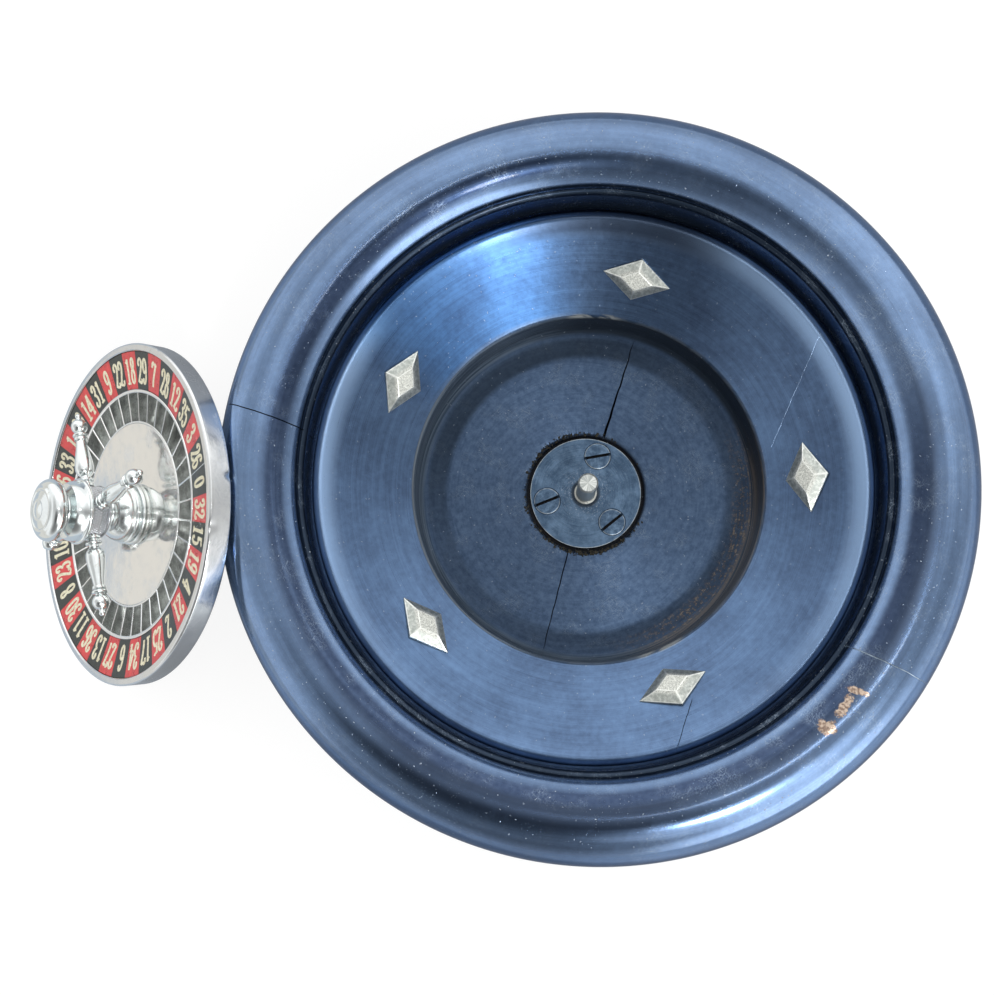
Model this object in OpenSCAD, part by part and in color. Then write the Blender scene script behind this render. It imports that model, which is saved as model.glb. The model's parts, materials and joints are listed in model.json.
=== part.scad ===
// Mini roulette wheel: a turned and lacquered wooden bowl with a plated metal wheel head.
// Millimetres, +Z up. The origin is on the bowl's turning axis, on the table that it stands on.
// The head is drawn lifted off its spindle. It stands on its edge at -X and leans back on the rim.

/* [Rim and track] */
// Outer diameter of the bowl, over the roll of its rim
bowl_d = 230; // [215:1:260]
// Diameter of the roll's round section
roll_d = 27.6; // [24:0.2:31]
// Height of the roll's centre above the upper edge of the cone
roll_rise = 6.45; // [5:0.05:9]
// Angle of the lip above the roll's inner side
lip_angle = 28; // [18:1:38]
// How far the lip overhangs the wall of the ball track
lip_overhang = 0.6; // [0.3:0.1:1.2]
// Radius of the bead round the ball track
bead_r = 1.5; // [1.1:0.1:1.8]
// Height of the lip above the middle of the bead
bead_drop = 3.1; // [2.4:0.1:4]
// Width of the open joint between the track's wall and the cone
groove_w = 1; // [0.6:0.1:1.6]
// Depth of the rim ring's seat below the upper edge of the cone
ring_seat_depth = 6.2; // [5.2:0.1:8]

/* [Body of the bowl] */
// Height of the well's floor above the table
floor_z = 11.4; // [10.6:0.1:16]
// Depth of the well, from its mouth to its floor
well_depth = 18.1; // [16:0.1:22]
// Height of the straight wall of the well
well_wall = 12; // [10:0.1:14]
// Width of the cove between the wall and the floor
cove_w = 8.5; // [6:0.1:11]
// Step inwards from the mouth to the wall of the well
well_step = 0.8; // [0.3:0.1:1.2]
// Slope of the cone above the level
cone_angle = 34.3; // [28:0.1:38]
// Radius of the rounding along the cone's upper edge
cone_round = 2.4; // [1.2:0.1:3]
// How far the belly reaches past the middle of the roll
belly_reach = 3.8; // [1:0.1:5]
// Diameter of the foot
foot_d = 150; // [130:1:170]
// Height of the foot
foot_h = 9; // [6:0.1:12]
// Thickness of the felt under the foot
felt_t = 1; // [0.6:0.1:2]
// Width of the felt ring
felt_w = 15; // [8:0.5:18]
// Depth of the hollow under the bowl, above the felt
hollow_h = 2.5; // [1:0.1:2.8]

/* [Bearing plate and spindle] */
// Diameter of the bearing plate
plate_d = 38.7; // [36:0.1:44]
// Gap between the bearing plate and the wood round it
plate_gap = 1.2; // [0.3:0.1:1.6]
// Thickness of the bearing plate
plate_t = 3; // [2.6:0.1:3.4]
// Diameter of the circle that the plate's screws stand on
screw_circle_d = 27.6; // [26.5:0.1:28.5]
// Diameter of a screw's head
screw_head_d = 9.6; // [7:0.1:9.8]
// Diameter of a screw's shank
screw_d = 4.6; // [3.6:0.1:5]
// Length of a screw
screw_l = 7; // [5:0.1:7.2]
// Width of a screw's slot
slot_w = 0.9; // [0.6:0.1:1.2]
// Depth of a screw's slot
slot_depth = 1; // [0.6:0.1:1.4]
// Diameter of the spindle
pin_d = 6.6; // [5.8:0.1:7]
// Height of the spindle above the plate
pin_h = 25.6; // [22:0.1:30]
// Chamfer at the spindle's tip
pin_chamfer = 0.6; // [0.3:0.1:1]
// Diameter of the spindle's collar on the plate
pin_collar_d = 8; // [7.4:0.1:10]
// Height of that collar
pin_collar_h = 0.8; // [0.5:0.1:1.5]
// Diameter of the spindle's threaded tail
pin_tail_d = 5; // [4:0.1:5.4]
// Thickness of the nut under the plate
pin_nut_t = 3; // [2.4:0.1:3.2]
// Width of that nut over its corners
pin_nut_d = 9.6; // [8:0.1:11]

/* [Deflectors] */
// Length of a deflector along the track
deflector_l = 23; // [18:0.5:26]
// Width of a deflector up the slope
deflector_w = 14; // [11:0.5:17]
// Height of a deflector above the cone
deflector_h = 3.2; // [2:0.1:4]
// Height of a deflector's upright edge
deflector_edge = 1; // [0.8:0.1:1.6]
// Share of the outline that the flat top covers
deflector_top = 0.46; // [0.3:0.01:0.6]
// How far the deflectors sit inwards from the middle of the cone
deflector_in = 3.5; // [0:0.1:5]
// Diameter of the stud under a deflector
stud_d = 2.4; // [1.6:0.1:3]
// Length of that stud in the wood
stud_l = 4; // [2:0.1:5]

/* [Wheel head] */
// Outer diameter of the head
head_d = 112.2; // [108:0.1:116]
// Gap all round between the head and the mouth of the well
mouth_gap = 2.8; // [1.5:0.1:4]
// How far the head's face lies below the mouth when it is on its spindle
seat_drop = 1; // [0:0.1:2]
// Height of the head's plain outer band
band_h = 6.6; // [6.2:0.1:9]
// Bevel along the lower edge of the band
band_bevel = 0.5; // [0.2:0.1:1]
// Width of the plain rim outside the numbers
rim_w = 2.6; // [1.5:0.05:3]
// How far the plain rim stands above the number ring
rim_step = 0.6; // [0.2:0.1:0.8]
// Width of the number ring
number_w = 12.1; // [10:0.05:13.5]
// Fall of the number ring towards the pockets
number_fall = 2.45; // [1.5:0.05:3]
// Thickness of the number ring
number_t = 1.2; // [0.8:0.1:1.6]
// Thickness of the enamel cells on it
cell_t = 0.25; // [0.15:0.05:0.4]
// Number of pockets
pockets = 37; // [25:2:38]
// Angle of the zero cell's middle, from the uppermost point of the leaning face
zero_angle = 4.6; // [-180:0.1:180]
// Width of the bright hoop outside the pockets
hoop_w = 1.25; // [0.8:0.05:1.6]
// Width of the pockets across the ring
pocket_w = 9.2; // [7:0.1:10]
// Width of the bright hoop inside the pockets
inner_hoop_w = 0.7; // [0.5:0.05:1]
// Height of the fret ring's outer hoop
fret_h = 3; // [2.7:0.1:3.1]
// Fall of the frets' tops towards the axis
fret_fall = 1.35; // [0.5:0.05:1.8]
// Thickness of a fret
fret_t = 0.55; // [0.4:0.05:0.8]
// Thickness of the pocket floor
pocket_floor_t = 0.3; // [0.2:0.05:0.5]
// Hollow of the polished dish at its middle
dish_hollow = 0.5; // [0.2:0.1:0.6]
// Height of the platform under the dish
platform_h = 0.6; // [0.4:0.1:1]

/* [Turret] */
// Height of the turret's base above the dish, up to the collar
base_h = 10.9; // [10.4:0.1:11.8]
// Diameter of the base's lowest flange
base_flange_d = 20.6; // [18:0.1:24]
// Diameter of the bell on the base
bulb_d = 19; // [17:0.1:19.4]
// Diameter of the waist under the collar
waist_d = 11; // [10.6:0.1:12.4]
// Diameter of the milled collar
collar_d = 16.8; // [15.8:0.1:18]
// Diameter of the cup above the collar
cup_d = 21.2; // [19:0.1:22]
// How far the cup's flange reaches down over the collar
cup_drop = 0.5; // [0.2:0.1:0.6]
// Height of the cup without its neck
cup_h = 5.1; // [4.6:0.1:6]
// Diameter of the neck
neck_d = 10.4; // [8:0.1:12]
// Height of the neck
neck_h = 1.8; // [1.5:0.1:3]
// Diameter of the knob
knob_d = 19.6; // [17:0.1:22]
// Height of the knob
knob_h = 6.6; // [6.2:0.1:8]
// Reach of an arm from the turret's axis to its tip
arm_reach = 34.6; // [32:0.1:38]
// Diameter of the ball on an arm
arm_ball_d = 5.2; // [4.6:0.1:5.6]
// Angle of the first arm, measured as the zero angle is
arm_angle = 13.6; // [-45:0.1:45]

/* [Head bearing] */
// Diameter of the thrust ball on the spindle's tip
ball_d = 5; // [4.4:0.1:5.4]
// Gap between the ball and what it bears on
ball_gap = 0.03; // [0.01:0.01:0.05]
// Clearance round the spindle in its bush
pin_clear = 0.2; // [0.18:0.01:0.3]
// Clearance round the ball in the bush
ball_clear = 0.15; // [0.1:0.01:0.3]
// Clearance round the bush in the turret
bush_clear = 0.1; // [0.05:0.01:0.15]
// Wall of the bush round the spindle
bush_wall = 1; // [0.8:0.1:1.1]
// Length of the bush
bush_l = 14.5; // [12.5:0.1:16]
// Wall of the turret's tail below the bush
tail_wall = 1.5; // [1.2:0.1:2]
// Clearance round the spindle below the bush
relief_clear = 1.7; // [1.5:0.1:1.9]
// Thickness of the nut under the head
hub_nut_t = 3.2; // [2.5:0.1:4]
// Width of that nut over its corners
hub_nut_d = 21; // [19:0.5:24]
// Thickness of the washer under the head
washer_t = 0.8; // [0.5:0.1:1.2]
// Diameter of that washer
washer_d = 25; // [22:0.5:30]
// Gap between the leaning head and the rim
lean_gap = 0.3; // [0.2:0.05:0.5]
// How far the head's uppermost edge stands past the point where it leans
lean_past = 4.1; // [2:0.1:9]

/* [Hidden] */
$fn = 96;
fit = 0.05;
roll_r = roll_d / 2;
roll_c = bowl_d / 2 - roll_r;
lip_r = roll_c - roll_r * cos(lip_angle);
track_r = lip_r + lip_overhang;
shoulder_r = track_r - groove_w;
head_r = head_d / 2;
mouth_r = head_r + mouth_gap;
mouth_z = floor_z + well_depth;
cone_edge_z = cone_z(shoulder_r);
roll_z = cone_edge_z + roll_rise;
lip_z = roll_z + roll_r * sin(lip_angle);
seat_z = cone_edge_z - ring_seat_depth;
belly_r = roll_c + belly_reach;
foot_r = foot_d / 2;
well_r = mouth_r - well_step;
cove_top = well_depth - well_wall;
cove_r = (pow(cove_w, 2) + pow(cove_top, 2)) / (2 * cove_top);
deflector_r = (mouth_r + shoulder_r) / 2 - deflector_in;
deflector_angles = [-2.4, 72.7, 147.2, 217.6, 288.1];
deflector_turns = [4, -3, 5, -2, 3];
screw_angles = [68, 188, 308];
slot_angles = [6, 18, 35];

// The head's own frame: its axis is Z, and the outer edge of the number ring lies at 0.
number_r = head_r - rim_w;
hoop_r = number_r - number_w;
pocket_r = hoop_r - hoop_w;
inner_r = pocket_r - pocket_w;
dish_r = inner_r - inner_hoop_w;
floor_top = -number_fall - fret_h;
plate_top = floor_top - pocket_floor_t;
platform_top = plate_top + platform_h;
fret_top = -number_fall;
dish_top = fret_top - fret_fall;
dish_centre = dish_top - dish_hollow;
cell_step = 360 / pockets;
head_seat_z = mouth_z - seat_drop;
ball_r = ball_d / 2;
pin_r = pin_d / 2;
pin_top_z = floor_z + pin_h;
ball_s = pin_top_z + ball_gap + ball_r - head_seat_z;
thrust_s = ball_s + ball_r + ball_gap;
bush_in_r = pin_r + pin_clear;
bush_out_r = bush_in_r + bush_wall;
bush_bore_r = bush_out_r + bush_clear;
relief_r = pin_r + relief_clear;
tail_r = relief_r + tail_wall;
collar_s = dish_centre + base_h;
collar_r = collar_d / 2;
joint_r = (bush_bore_r + collar_r) / 2 - 0.3;
cup_s = thrust_s - cup_drop;
arm_s = (collar_s + cup_s) / 2;
thrust_t = 0.8;
neck_s = cup_s + cup_h;
knob_s = neck_s + neck_h;
clamp_r = 2;
washer_s = -band_h - washer_t;
nut_s = washer_s - hub_nut_t;

// The lean: the flat back touches the roll while the lower back edge stands on the table.
back_r = head_r - band_bevel;
lean_a = 2 * back_r - lean_past;
lean_b = roll_r + lean_gap;
lean = asin(roll_z / norm([lean_a, lean_b])) + atan(lean_b / lean_a);
head_x = -roll_c - lean_b * sin(lean) - (lean_a - back_r) * cos(lean) - band_h * sin(lean);
head_z = back_r * sin(lean) + band_h * cos(lean);

function cone_z(r) = mouth_z + (r - mouth_r) * tan(cone_angle);
function arc(x, z, r, from, to, steps) =
    [for (i = [0:steps]) let (a = from + (to - from) * i / steps) [x + r * cos(a), z + r * sin(a)]];
// French single-zero order: red and black take turns after the zero
function is_red(cell) = cell > 0 && cell % 2 == 1;

module turned() {
    rotate_extrude(convexity = 8) children();
}

module in_head() {
    translate([head_x, 0, head_z]) rotate([0, -lean, 0]) children();
}

module on_cone(angle, turn) {
    rotate([0, 0, angle]) translate([deflector_r, 0, cone_z(deflector_r)])
        rotate([0, -cone_angle, 0]) rotate([0, 0, turn]) children();
}

// A ring between two radii and two heights, as a section
module band(inner, outer, low, high) {
    translate([inner, low]) square([outer - inner, high - low]);
}

module bowl_body() {
    arc_x = shoulder_r - cone_round;
    arc_z = cone_z(arc_x) - cone_round / cos(cone_angle);
    belly_x = foot_r - 3;
    belly = [for (i = [0:16]) let (a = 90 * i / 16)
        [belly_x + (belly_r - belly_x) * sin(a), seat_z - (seat_z - foot_h) * cos(a)]];
    color("midnightblue") difference() {
        turned() difference() {
            polygon(concat([[0, felt_t], [foot_r, felt_t]], arc(foot_r, foot_h / 2 + felt_t / 2,
                (foot_h - felt_t) / 2, -90, 90, 12), belly, [[shoulder_r, seat_z]],
                arc(arc_x, arc_z, cone_round, 0, 90 + cone_angle, 8),
                [[mouth_r, mouth_z], [well_r, mouth_z - well_step],
                [well_r, floor_z + cove_top], [0, floor_z + cove_top]]));
            translate([-1, felt_t - 1]) square([foot_r - felt_w, hollow_h + 1]);
            translate([-1, floor_z]) square([well_r - cove_w + 1, cove_top + 1]);
            intersection() {
                translate([well_r - cove_w, floor_z + cove_r]) circle(r = cove_r);
                translate([well_r - cove_w - 0.01, floor_z]) square([cove_w + 0.01, cove_top + 1]);
            }
        }
        translate([0, 0, floor_z - plate_t]) cylinder(r = plate_d / 2 + plate_gap, h = plate_t + 1);
        translate([0, 0, floor_z - plate_t - pin_nut_t - 0.4])
            cylinder(r = pin_nut_d / 2 + 0.4, h = pin_nut_t + 1);
        for (a = screw_angles) rotate([0, 0, a]) translate([screw_circle_d / 2, 0, floor_z - screw_l - 0.2])
            cylinder(r = screw_d / 2 + fit, h = screw_l);
        for (a = deflector_angles) on_cone(a, 0) translate([0, 0, -stud_l - 0.5])
            cylinder(r = stud_d / 2 + fit, h = stud_l + 2, $fn = 32);
    }
}

module rim_ring() {
    color("navy") turned() {
        difference() {
            union() {
                translate([roll_c, roll_z]) circle(r = roll_r, $fn = 128);
                band(track_r, roll_c, seat_z, lip_z - 0.4);
            }
            translate([0, 0]) square([track_r, lip_z]);
            translate([0, 0]) square([bowl_d, seat_z]);
        }
        intersection() {
            translate([track_r - 0.35, lip_z - bead_drop]) circle(r = bead_r, $fn = 40);
            band(track_r - 5, track_r + 0.5, 0, lip_z);
        }
    }
}

module base_felt() {
    color("darkgreen") turned() band(foot_r - felt_w, foot_r - 1, 0, felt_t);
}

// A countersunk head below the plate's face, which goes on past that face by over
module screw_head(spare, over) {
    depth = (screw_head_d - screw_d) / 2;
    translate([0, 0, -depth])
        cylinder(r1 = screw_d / 2 + spare, r2 = screw_head_d / 2 + spare + over, h = depth + over);
}

module bearing_plate() {
    color("slategray") difference() {
        translate([0, 0, floor_z - plate_t]) cylinder(r = plate_d / 2, h = plate_t);
        translate([0, 0, floor_z - plate_t - 1]) cylinder(r = pin_tail_d / 2 + fit, h = plate_t + 2);
        for (a = screw_angles)
            translate([screw_circle_d / 2 * cos(a), screw_circle_d / 2 * sin(a), floor_z]) {
                screw_head(fit, 0.25);
                translate([0, 0, -plate_t - 1])
                    cylinder(r = screw_d / 2 + fit, h = plate_t + 1.5 - (screw_head_d - screw_d) / 2);
            }
    }
}

module plate_screws() {
    color("lightslategray") for (i = [0:2]) rotate([0, 0, screw_angles[i]])
        translate([screw_circle_d / 2, 0, floor_z]) difference() {
            union() {
                screw_head(0, 0);
                translate([0, 0, -screw_l + 1.6]) cylinder(r = screw_d / 2, h = screw_l - 1.6 - 1);
                translate([0, 0, -screw_l]) cylinder(r1 = 0.4, r2 = screw_d / 2, h = 1.6);
            }
            rotate([0, 0, slot_angles[i] - screw_angles[i]])
                translate([-screw_head_d, -slot_w / 2, -slot_depth])
                    cube([2 * screw_head_d, slot_w, slot_depth + 1]);
        }
}

module spindle_pin() {
    color("silver") translate([0, 0, floor_z]) turned() union() {
        polygon([[0, 0], [pin_r, 0], [pin_r, pin_h - pin_chamfer], [pin_r - pin_chamfer, pin_h], [0, pin_h]]);
        band(0, pin_collar_d / 2, 0, pin_collar_h);
        band(0, pin_tail_d / 2, -plate_t - pin_nut_t - 0.2, 0.1);
    }
}

module spindle_nut() {
    color("dimgray") translate([0, 0, floor_z - plate_t - pin_nut_t]) difference() {
        cylinder(r = pin_nut_d / 2, h = pin_nut_t, $fn = 6);
        translate([0, 0, -1]) cylinder(r = pin_tail_d / 2 + fit, h = pin_nut_t + 2);
    }
}

// A bevelled diamond, cut to the cone underneath, with a stud that goes into the wood
module deflector(i) {
    outline = [[deflector_w / 2, 0], [0, deflector_l / 2], [-deflector_w / 2, 0], [0, -deflector_l / 2]];
    sink = 1.2;
    color("darkkhaki") {
        difference() {
            on_cone(deflector_angles[i], deflector_turns[i]) union() {
                translate([0, 0, -sink]) linear_extrude(sink + deflector_edge) polygon(outline);
                translate([0, 0, deflector_edge])
                    linear_extrude(deflector_h - deflector_edge, scale = deflector_top) polygon(outline);
            }
            turned() polygon([[20, cone_z(20) + 0.02], [bowl_d / 2, cone_z(bowl_d / 2) + 0.02],
                [bowl_d / 2, -10], [20, -10]]);
        }
        on_cone(deflector_angles[i], 0) translate([0, 0, -stud_l])
            cylinder(r = stud_d / 2, h = stud_l + deflector_edge, $fn = 32);
    }
}

module thrust_ball() {
    color("gainsboro") in_head() translate([0, 0, ball_s]) sphere(r = ball_r);
}

module spindle_bush() {
    step_s = ball_s - ball_r + 0.5;
    low = thrust_s - bush_l;
    color("goldenrod") in_head() turned() polygon([[bush_in_r + 0.4, low], [bush_out_r, low],
        [bush_out_r, thrust_s - ball_gap], [ball_r + ball_clear, thrust_s - ball_gap],
        [ball_r + ball_clear, step_s], [bush_in_r, step_s], [bush_in_r, low + 0.5]]);
}

module head_pan() {
    soft = 0.35;
    color("silver") in_head() turned() polygon([[tail_r + fit, -band_h], [back_r, -band_h],
        [head_r, -band_h + band_bevel], [head_r, rim_step - soft], [head_r - soft, rim_step],
        [number_r + fit + 0.3, rim_step], [number_r + fit, rim_step - 0.2], [number_r + fit, -number_t], [hoop_r - fit, -number_fall - number_t], [hoop_r - fit, plate_top],
        [dish_r - 0.6, plate_top], [dish_r - 0.6, platform_top], [tail_r + fit, platform_top]]);
}

// The sloping strip that the numbers are on, between two depths below its face
module number_strip(top, bottom, inset) {
    fall = number_fall / number_w;
    outer = number_r - inset;
    inner = hoop_r + inset;
    polygon([[outer, -top - fall * inset], [inner, -top - fall * (number_w - inset)],
        [inner, -bottom - fall * (number_w - inset)], [outer, -bottom - fall * inset]]);
}

module number_ring() {
    color("dimgray") in_head() turned() number_strip(cell_t, number_t, 0);
}

module cells(red) {
    in_head() for (i = [0:pockets - 1]) if (is_red(i) == red)
        rotate([0, 0, zero_angle - (i + 0.5) * cell_step])
            rotate_extrude(angle = cell_step - 0.05, convexity = 4) number_strip(0, cell_t, 0.05);
}

module red_cells() {
    color("crimson") cells(true);
}

module black_cells() {
    color("darkslategray") cells(false);
}

module pocket_floor() {
    color("gray") in_head() turned() band(dish_r - 0.6 + fit, hoop_r - 2 * fit, plate_top, floor_top);
}

// One turned ring with the pockets cut through it, so that the frets stand between its two hoops
module fret_ring() {
    edge = 0.15;
    fret_angle = 2 * asin(fret_t / 2 / pocket_r);
    color("whitesmoke") in_head() difference() {
        turned() polygon([[dish_r, floor_top], [hoop_r - 2 * fit, floor_top], [hoop_r - 2 * fit, fret_top],
            [pocket_r - edge, fret_top], [inner_r + edge, dish_top], [dish_r, dish_top]]);
        for (i = [0:pockets - 1]) rotate([0, 0, zero_angle + (i - 0.5) * cell_step + fret_angle / 2])
            rotate_extrude(angle = cell_step - fret_angle, convexity = 4)
                band(inner_r, pocket_r, floor_top - 1, fret_top + 1);
    }
}

module dish_plate() {
    color("lightgray") in_head() turned() polygon([[tail_r + fit, platform_top], [dish_r - fit, platform_top],
        [dish_r - fit, dish_top], [base_flange_d / 2, dish_centre], [tail_r + fit, dish_centre]]);
}

module turret_base() {
    flange_r = base_flange_d / 2;
    bulb_r = bulb_d / 2;
    ball_x = 3.5;
    color("gainsboro") in_head() turned() difference() {
        union() {
            band(0, tail_r, nut_s - 0.2, dish_centre);
            band(0, flange_r - 0.6, dish_centre, dish_centre + 1.3);
            translate([flange_r - 0.65, dish_centre + 0.65]) circle(r = 0.65, $fn = 32);
            band(0, flange_r - 1.5, dish_centre + 1.3, dish_centre + 2.2);
            band(0, flange_r - 0.7, dish_centre + 2.2, dish_centre + 3.2);
            translate([flange_r - 0.75, dish_centre + 2.7]) circle(r = 0.5, $fn = 32);
            intersection() {
                translate([ball_x, dish_centre + 3.1]) circle(r = bulb_r - ball_x);
                band(0, bulb_r, dish_centre + 3, collar_s - 0.6);
            }
            band(0, waist_d / 2, dish_centre + 5, collar_s - 1);
            polygon([[0, collar_s - 1.6], [waist_d / 2, collar_s - 1.6], [collar_r - 1.2, collar_s],
                [0, collar_s]]);
            band(0, joint_r, collar_s - 1, arm_s + 0.6);
        }
        band(-1, bush_bore_r, thrust_s - bush_l - 0.2, thrust_s);
        band(-1, relief_r, nut_s - 2, thrust_s - bush_l - 0.1);
    }
}

// The milled collar is ringed by four holes for the arms
module turret_collar() {
    color("lightsteelblue") in_head() difference() {
        turned() difference() {
            union() {
                band(bush_bore_r, collar_r, collar_s + 0.02, cup_s - 0.02);
                translate([collar_r - 0.2, collar_s + 0.5]) circle(r = 0.45, $fn = 24);
                translate([collar_r - 0.2, cup_s - 0.5]) circle(r = 0.45, $fn = 24);
            }
            band(-1, joint_r + fit, collar_s - 1, thrust_s + 1);
        }
        for (i = [0:3]) arm_frame(i) cylinder(r = 1.4 + fit, h = collar_r * 2, $fn = 32);
    }
}

module thrust_plate() {
    color("slategray") in_head() turned() band(0, bush_bore_r - fit, thrust_s, thrust_s + thrust_t);
}

module turret_cup() {
    cup_r = cup_d / 2;
    dome_x = 3.5;
    dome_r = cup_r - dome_x - 0.7;
    color("gainsboro") in_head() turned() difference() {
        union() {
            band(0, cup_r - 0.7, cup_s, cup_s + 1.4);
            translate([cup_r - 0.7, cup_s + 0.7]) circle(r = 0.7, $fn = 32);
            intersection() {
                translate([dome_x, cup_s + 1]) circle(r = dome_r);
                band(0, cup_r, cup_s + 1, neck_s);
            }
            band(0, dome_x + 2, cup_s + 1, neck_s);
            band(0, neck_d / 2, neck_s - 0.1, knob_s);
            band(0, joint_r, arm_s + 1, cup_s + 0.1);
        }
        band(-1, bush_bore_r, arm_s, thrust_s + thrust_t);
        band(-1, clamp_r + fit, cup_s, knob_s + 1);
    }
}

module turret_knob() {
    knob_r = knob_d / 2;
    waist = 2.6;
    cap_r = knob_r - 2.8;
    color("gainsboro") in_head() turned() difference() {
        union() {
            translate([knob_r - waist, knob_s + waist]) circle(r = waist);
            band(0, knob_r - waist, knob_s, knob_s + 2 * waist);
            polygon([[0, knob_s + 2 * waist - 0.2], [knob_r - waist, knob_s + 2 * waist - 0.2],
                [cap_r, knob_s + 2 * waist + 0.5], [cap_r - 0.6, knob_s + 2 * waist + 0.3],
                [cap_r / 2, knob_s + knob_h - 0.4], [cap_r / 2 - 0.5, knob_s + knob_h - 0.55],
                [cap_r / 4, knob_s + knob_h], [0, knob_s + knob_h]]);
        }
        band(-1, clamp_r + fit, knob_s - 1, knob_s + 4.2);
    }
}

module turret_stud() {
    color("dimgray") in_head() turned() band(0, clamp_r, thrust_s + thrust_t, knob_s + 4);
}

module arm_frame(i) {
    translate([0, 0, arm_s]) rotate([0, 0, arm_angle + 90 * i]) rotate([0, 90, 0]) children();
}

// A turned arm: rings, a baluster that thins outwards, a ball and a small tip
module arm(i) {
    root = collar_r + 0.05;
    ball_at = arm_reach - 2 - arm_ball_d / 2;
    swell = root + 6.5;
    slim = ball_at - 5;
    color("gainsboro") in_head() arm_frame(i) {
        turned() union() {
            band(0, 1.4, joint_r + 0.2, root + 1);
            band(0, 2.4, root, root + 0.9);
            band(0, 1.9, root + 0.9, root + 1.8);
            translate([1.9, root + 2.3]) circle(r = 0.6, $fn = 24);
            band(0, 1.9, root + 1.8, root + 2.8);
            polygon([[0, root + 2.8], [1.5, root + 2.8], [1.5, root + 3.6], [2.2, root + 4.4],
                [2.75, root + 5.4], [2.9, swell], [2.8, swell + 1.6], [2.4, swell + 4],
                [1.9, swell + 7], [1.5, slim], [0, slim]]);
            band(0, 2.1, slim, slim + 0.8);
            band(0, 1.5, slim + 0.8, slim + 1.5);
            translate([1.9, slim + 1.8]) circle(r = 0.5, $fn = 24);
            band(0, 1.9, slim + 1.3, slim + 2.3);
            band(0, 1.3, slim + 2.3, ball_at);
            band(0, 0.8, ball_at, arm_reach - 0.6);
            intersection() {
                translate([0, arm_reach - 1]) circle(r = 1, $fn = 24);
                band(0, 2, 0, arm_reach);
            }
            intersection() {
                translate([0, ball_at]) circle(r = arm_ball_d / 2);
                band(0, arm_ball_d, 0, arm_reach);
            }
        }
    }
}

module hub_washer() {
    color("tan") in_head() turned() band(tail_r + fit, washer_d / 2, washer_s, -band_h);
}

module hub_nut() {
    color("darkgray") in_head() difference() {
        translate([0, 0, nut_s]) cylinder(r = hub_nut_d / 2, h = hub_nut_t, $fn = 6);
        translate([0, 0, nut_s - 1]) cylinder(r = tail_r + fit, h = hub_nut_t + 2);
    }
}

bowl_body();
rim_ring();
base_felt();
bearing_plate();
plate_screws();
spindle_pin();
spindle_nut();
deflector(0);  // deflector_1
deflector(1);  // deflector_2
deflector(2);  // deflector_3
deflector(3);  // deflector_4
deflector(4);  // deflector_5
thrust_ball();
spindle_bush();
head_pan();
number_ring();
red_cells();
black_cells();
pocket_floor();
fret_ring();
dish_plate();
turret_base();
turret_collar();
thrust_plate();
turret_cup();
turret_knob();
turret_stud();
arm(0);  // arm_1
arm(1);  // arm_2
arm(2);  // arm_3
arm(3);  // arm_4
hub_washer();
hub_nut();
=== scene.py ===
"""Looks of a small table roulette wheel: a lacquered wooden bowl and its plated wheel head.

Lengths are in millimetres, and become metres where a mesh is made.
The bowl turns about Z. The head is built in its own frame: its axis is Z, and the outer edge of its
number ring lies at 0. That frame is then set where the model has it, leaning on the rim.
"""
import json
import math
from math import cos, degrees, hypot, radians, sin

import bmesh
import bpy
import numpy as np
from mathutils import Matrix, Vector, noise


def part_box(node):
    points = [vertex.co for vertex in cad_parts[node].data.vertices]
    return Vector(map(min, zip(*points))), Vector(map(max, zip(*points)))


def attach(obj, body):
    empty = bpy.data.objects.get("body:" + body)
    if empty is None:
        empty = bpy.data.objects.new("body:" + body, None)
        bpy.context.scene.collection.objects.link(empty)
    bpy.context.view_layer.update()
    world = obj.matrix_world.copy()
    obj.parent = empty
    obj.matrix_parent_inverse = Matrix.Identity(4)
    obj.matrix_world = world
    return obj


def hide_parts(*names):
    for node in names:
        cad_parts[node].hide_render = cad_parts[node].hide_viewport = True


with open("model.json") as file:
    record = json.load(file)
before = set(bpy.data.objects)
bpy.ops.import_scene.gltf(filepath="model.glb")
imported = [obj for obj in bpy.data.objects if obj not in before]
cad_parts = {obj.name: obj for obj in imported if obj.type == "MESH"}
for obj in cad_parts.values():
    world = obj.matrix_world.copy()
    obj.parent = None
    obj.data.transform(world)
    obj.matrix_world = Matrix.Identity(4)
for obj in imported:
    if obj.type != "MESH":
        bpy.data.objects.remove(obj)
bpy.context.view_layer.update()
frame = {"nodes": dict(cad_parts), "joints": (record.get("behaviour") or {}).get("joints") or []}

MM = 0.001
TAU = 2 * math.pi
STRAIGHT = math.pi - 0.02

# Bowl
FLOOR_Z = 11.4
MOUTH_R = 58.9
MOUTH_Z = 29.5
WELL_R = 58.1
COVE_W = 8.5
COVE_TOP = 6.1
CONE = radians(34.3)
ROLL_R = 13.8
ROLL_C = 101.2
LIP_ANGLE = radians(28)
TRACK_R = 89.6
SHOULDER_R = 88.6
CONE_ROUND = 2.4
BELLY_R = 105
FOOT_R = 75
FOOT_H = 9
FELT_T = 1
FELT_W = 14
PLATE_R = 19.35
GAP_R = 20.55
PIN_R = 3.3
PIN_TOP = 37
SCREW_CIRCLE = 13.8
SCREW_R = 4.6
DEFLECTOR_R = 70.26
DEFLECTOR_HALF_W = 7.0
DEFLECTOR_HALF_L = 11.5
DEFLECTOR_ANGLES = (-2.4, 72.7, 147.2, 217.6, 288.1)
DEFLECTOR_TURNS = (4, -3, 5, -2, 3)
SCREW_ANGLES = (68, 188, 308)
SLOT_ANGLES = (6, 18, 35)
# Bare wood on the rim: the middle of each spot, its turn, and half its length and width
RIM_KNOCKS = (((59.6, -77.7, 69.5), -10, 2.7, 1.9), ((64.8, -72.4, 69.5), 54, 4.0, 1.4),
              ((69.0, -68.2, 69.5), -23, 3.3, 0.95))
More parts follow.
